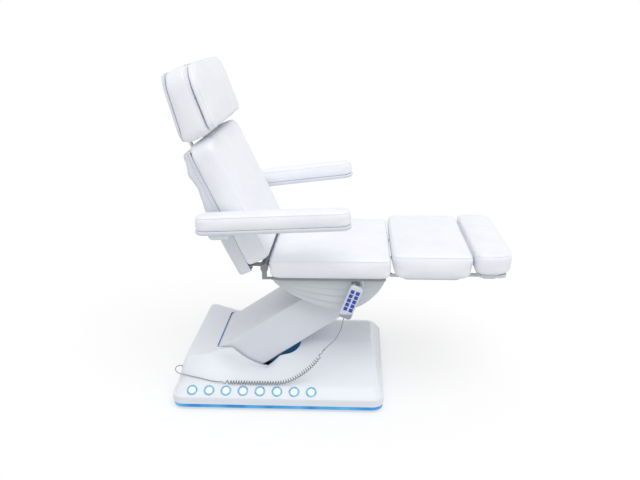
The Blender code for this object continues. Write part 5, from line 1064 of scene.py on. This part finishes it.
# Leg and foot cushions: the same foam and leather on their own steel panels. The leg one is tucked under at both
# of its ends, and the foot one has wide round outer corners.
LEG_SIZE = (0.326, 0.620, 0.101)
LEG_FULL = 0.005
FOOT_SIZE = (0.160, 0.620, 0.087)
leg_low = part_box("leg_cushion")[0]
leg_place = Matrix.Translation((leg_low.x - LEG_FULL + LEG_SIZE[0] / 2, 0.0, leg_low.z))
upholstered(
    "leg_cushion", "leg_rest", leg_place, LEG_SIZE, corners=(0.030, 0.030), crown=0.008,
    edge=0.022, pull=0.002, tuck=0.042,
)
foot_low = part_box("foot_cushion")[0]
foot_place = Matrix.Translation((foot_low.x + FOOT_SIZE[0] / 2, 0.0, foot_low.z))
upholstered(
    "foot_cushion", "foot_rest", foot_place, FOOT_SIZE, corners=(0.028, 0.072), crown=0.008,
    edge=0.024, pull=0.002, tuck=0.028,
)

# Back cushion: the same foam and leather, standing on the back frame's steel panel. It is round at its upper
# corners and full at its edges.
BACK_ANGLE = 24.5
BACK_SIZE = (0.531, 0.620, 0.098)
BACK_START = 0.035
BACK_REAR = -0.048
pivots = {joint["name"]: Vector(joint["pos_m"]) for joint in frame["joints"] if "pos_m" in joint}
lean = Matrix.Translation(pivots["back_recline"]) @ Matrix.Rotation(-math.radians(BACK_ANGLE), 4, "Y")
stand_up = Matrix.Rotation(math.radians(90), 4, "Y")
back_place = lean @ Matrix.Translation((BACK_REAR, 0.0, BACK_START + BACK_SIZE[0] / 2)) @ stand_up
upholstered(
    "back_cushion", "back", back_place, BACK_SIZE, corners=(0.060, 0.022), crown=0.012,
    edge=0.026, foot_round=0.006,
)

# Back shell: a white ABS moulding screwed to the rear of the back frame. It is full at the shoulders and drawn
# forward below them, and a shadow groove runs down each side.
SHELL_FRONT = -0.0503
SHELL_REAR = -0.1083
SHELL_START = 0.014
SHELL_TOP = 0.544
SHELL_HALF = 0.290
SHELL_ROUND = 0.018
SHELL_WALL = 0.004
SHELL_DRAW = (
    (0.014, 0.004), (0.160, 0.0), (0.310, 0.0), (0.360, 0.009), (0.405, 0.016), (0.435, 0.012),
    (0.462, 0.006), (0.500, 0.018), (0.544, 0.034),
)
SIDE_START = 0.200
SHELL_SLICES = 36
SHELL_SIDE_SLICES = (-0.27, -0.25, -SIDE_START, -0.22, 0.0, 0.22, SIDE_START, 0.25, 0.27)
GROOVE_X = -0.0715
GROOVE_LOW = 0.250
GROOVE_DEPTH = 0.0030
GROOVE_SLICES = (-0.0032, -0.0010, 0.0010, 0.0032)
GROOVE_FLOOR = 0.0011
shell = block((SHELL_REAR, -SHELL_HALF, SHELL_START), (SHELL_FRONT, SHELL_HALF, SHELL_TOP))
bevel(shell, edges_at(shell, 0, SHELL_REAR), SHELL_ROUND, 5)
sliced(shell, 2, [SHELL_START + (SHELL_TOP - SHELL_START) * k / SHELL_SLICES for k in range(1, SHELL_SLICES)])
sliced(shell, 1, SHELL_SIDE_SLICES)
sliced(shell, 0, [GROOVE_X + offset for offset in GROOVE_SLICES])
front = [face for face in shell.faces if face.normal.x > 0.9]
bmesh.ops.delete(shell, geom=front, context="FACES")
for vert in shell.verts:
    drawn = SHELL_DRAW[-1][1]
    for (low_z, low_draw), (high_z, high_draw) in zip(SHELL_DRAW, SHELL_DRAW[1:]):
        if low_z <= vert.co.z <= high_z:
            share = (vert.co.z - low_z) / (high_z - low_z)
            drawn = low_draw + (high_draw - low_draw) * gentle(share)
    side = max(0.0, min(1.0, (abs(vert.co.y) - SIDE_START) / (SHELL_HALF - SHELL_ROUND - SIDE_START)))
    depth = max(0.0, (SHELL_FRONT - vert.co.x) / (SHELL_FRONT - SHELL_REAR))
    in_groove = abs(vert.co.x - GROOVE_X) < GROOVE_FLOOR and abs(vert.co.y) > SHELL_HALF - 1e-5
    vert.co.x += drawn * gentle(side) * depth
    if in_groove and vert.co.z > GROOVE_LOW:
        vert.co.y -= math.copysign(GROOVE_DEPTH, vert.co.y)
shell_piece = show("back_shell_moulding", moved(shell, lean), satin_abs, "shell_plastic", "back", "back_shell")
walled(shell_piece, SHELL_WALL)
shell_cuts = []
WEB_X = -0.0723
WEB_Y = 0.230
WEB_HALF = 0.008
ARMREST_PIN = Vector((-0.063, 0.0, 0.225))
PIN_HOLE = 0.0092
HEAD_ROD = Vector((-0.077, 0.120, SHELL_TOP))
ROD_HOLE = 0.0088
ROD_CUT = 0.05
for side in (-1, 1):
    web_y = side * WEB_Y
    web_low = (WEB_X, web_y - WEB_HALF, SHELL_START - SHELL_WALL)
    web = block(web_low, (0.0, web_y + WEB_HALF, SHELL_START + 2 * SHELL_WALL))
    pin = tube(
        (ARMREST_PIN.x, side * (SHELL_HALF - 3 * SHELL_WALL), ARMREST_PIN.z),
        (ARMREST_PIN.x, side * (SHELL_HALF + SHELL_WALL), ARMREST_PIN.z),
        PIN_HOLE,
    )
    rod_y = side * HEAD_ROD.y
    rod_low = (HEAD_ROD.x, rod_y, HEAD_ROD.z - ROD_CUT)
    rod_hole = tube(rod_low, (HEAD_ROD.x, rod_y, HEAD_ROD.z + SHELL_WALL), ROD_HOLE)
    shell_cuts += [moved(form, lean) for form in (web, pin, rod_hole)]
cut(shell_piece, shell_cuts)


# Headrest: a boxed cushion that thins towards the top, with a softer pillow sewn on its front, on a white
# plastic plate that clips round the cross bar of the two rods.
HEAD_START = 0.576
HEAD_BACK = 0.052
HEAD_LEAN = 10.0
HEAD_LENGTH = 0.272
HEAD_WIDTH = 0.620
HEAD_THICK_HIGH = 0.084
HEAD_THICK_LOW = 0.108
head_frame = Matrix.Translation((-HEAD_BACK, 0.0, HEAD_START))
head_frame[0][2] = math.tan(math.radians(HEAD_LEAN))
head_place = lean @ head_frame @ Matrix.Translation((0.0, 0.0, HEAD_LENGTH / 2)) @ stand_up
HEAD_SIZE = (HEAD_LENGTH, HEAD_WIDTH, HEAD_THICK_HIGH)
upholstered(
    "head_cushion", "headrest", head_place, HEAD_SIZE, corners=(0.070, 0.028), crown=0.003,
    edge=0.007, swell=0.004, foot_thick=HEAD_THICK_LOW,
)
PILLOW_SIZE = (0.264, 0.612, 0.030)
PILLOW_BASE = 0.1003
pillow_slope = Matrix.Rotation(-math.atan2(HEAD_THICK_LOW - HEAD_THICK_HIGH, HEAD_LENGTH), 4, "Y")
pillow_place = lean @ head_frame @ Matrix.Translation((PILLOW_BASE, 0.0, HEAD_LENGTH / 2)) @ pillow_slope @ stand_up
upholstered(
    "head_pillow", "headrest", pillow_place, PILLOW_SIZE, corners=(0.105, 0.034), crown=0.010,
    edge=0.020, swell=0.005, voxel=0.006, foot_round=0.003,
)
dress(satin_abs, "head_plate")


# Armrests: a pad of the same foam and leather on a white ABS tray, whose moulded hub turns on a steel pin at the
# side of the back. The two stand at slightly different angles.
ARMREST_LENGTH = 0.601
ARMREST_WIDTH = 0.100
ARMREST_REAR = 0.0950
ARMREST_Y = 0.372
ARMREST_HUB = 0.018
ARMREST_HUB_SPREAD = 0.048
HUB_ROOT_Z = 0.010
HUB_INNER = 0.322
HUB_OUTER = 0.410
HUB_HOLE = (0.310, 0.374)
TRAY_BOTTOM = 0.002
TRAY_TOP = 0.018
TRAY_CORNER = 0.040
TRAY_ROUND = 0.012
TRAY_EDGE = 0.0015
HUB_EDGE = 0.006
PAD_THICK = 0.058
PAD_GAP = 0.0003
PAD_SIZE = (ARMREST_LENGTH, ARMREST_WIDTH, PAD_THICK)
for side_name, side, tilt in (("near", -1, 2.5), ("far", 1, 6.5)):
    armrest = "armrest_" + side_name
    pivot = pivots[armrest]
    hub_place = Matrix.Translation((pivot.x, 0.0, pivot.z)) @ Matrix.Rotation(-math.radians(tilt), 4, "Y")
    tray_place = hub_place @ Matrix.Translation((ARMREST_LENGTH / 2 - ARMREST_REAR, side * ARMREST_Y, 0.0))
    half = (ARMREST_LENGTH / 2, ARMREST_WIDTH / 2)
    tray = block((-half[0], -half[1], TRAY_BOTTOM), (half[0], half[1], TRAY_TOP))
    bevel(tray, along(tray, 2), TRAY_CORNER, 10)
    bevel(tray, edges_at(tray, 2, TRAY_BOTTOM), TRAY_ROUND, 5)
    bevel(tray, edges_at(tray, 2, TRAY_TOP), TRAY_EDGE, 2)
    moved(tray, tray_place)
    tray_piece = show(armrest + "_tray_moulding", tray, satin_abs, "shell_plastic", armrest, armrest + "_tray")
    hub_sides = sorted((side * HUB_INNER, side * HUB_OUTER))
    hub_reach = ARMREST_HUB + ARMREST_HUB_SPREAD / 2
    hub = block((-hub_reach, hub_sides[0], -ARMREST_HUB), (hub_reach, hub_sides[1], HUB_ROOT_Z))
    bevel(hub, [edge for edge in along(hub, 1) if edge.verts[0].co.z < 0.0], ARMREST_HUB, 8)
    bevel(hub, side_outlines(hub, HUB_ROOT_Z), HUB_EDGE, 4)
    cut(tray_piece, [moved(hub, hub_place)], "UNION")
    hole_ends = [(pivot.x, side * y, pivot.z) for y in HUB_HOLE]
    cut(tray_piece, [tube(*hole_ends, PIN_HOLE)])
    pad_place = tray_place @ Matrix.Translation((0.0, 0.0, TRAY_TOP + PAD_GAP))
    upholstered(
        armrest + "_pad", armrest, pad_place, PAD_SIZE, corners=(0.044, 0.044), crown=0.005,
        edge=0.020, pull=0.0, swell=0.003, voxel=0.005,
    )

size = {"cad": [list(cad_low), list(cad_high)], "visual": [list(corner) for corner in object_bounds()]}
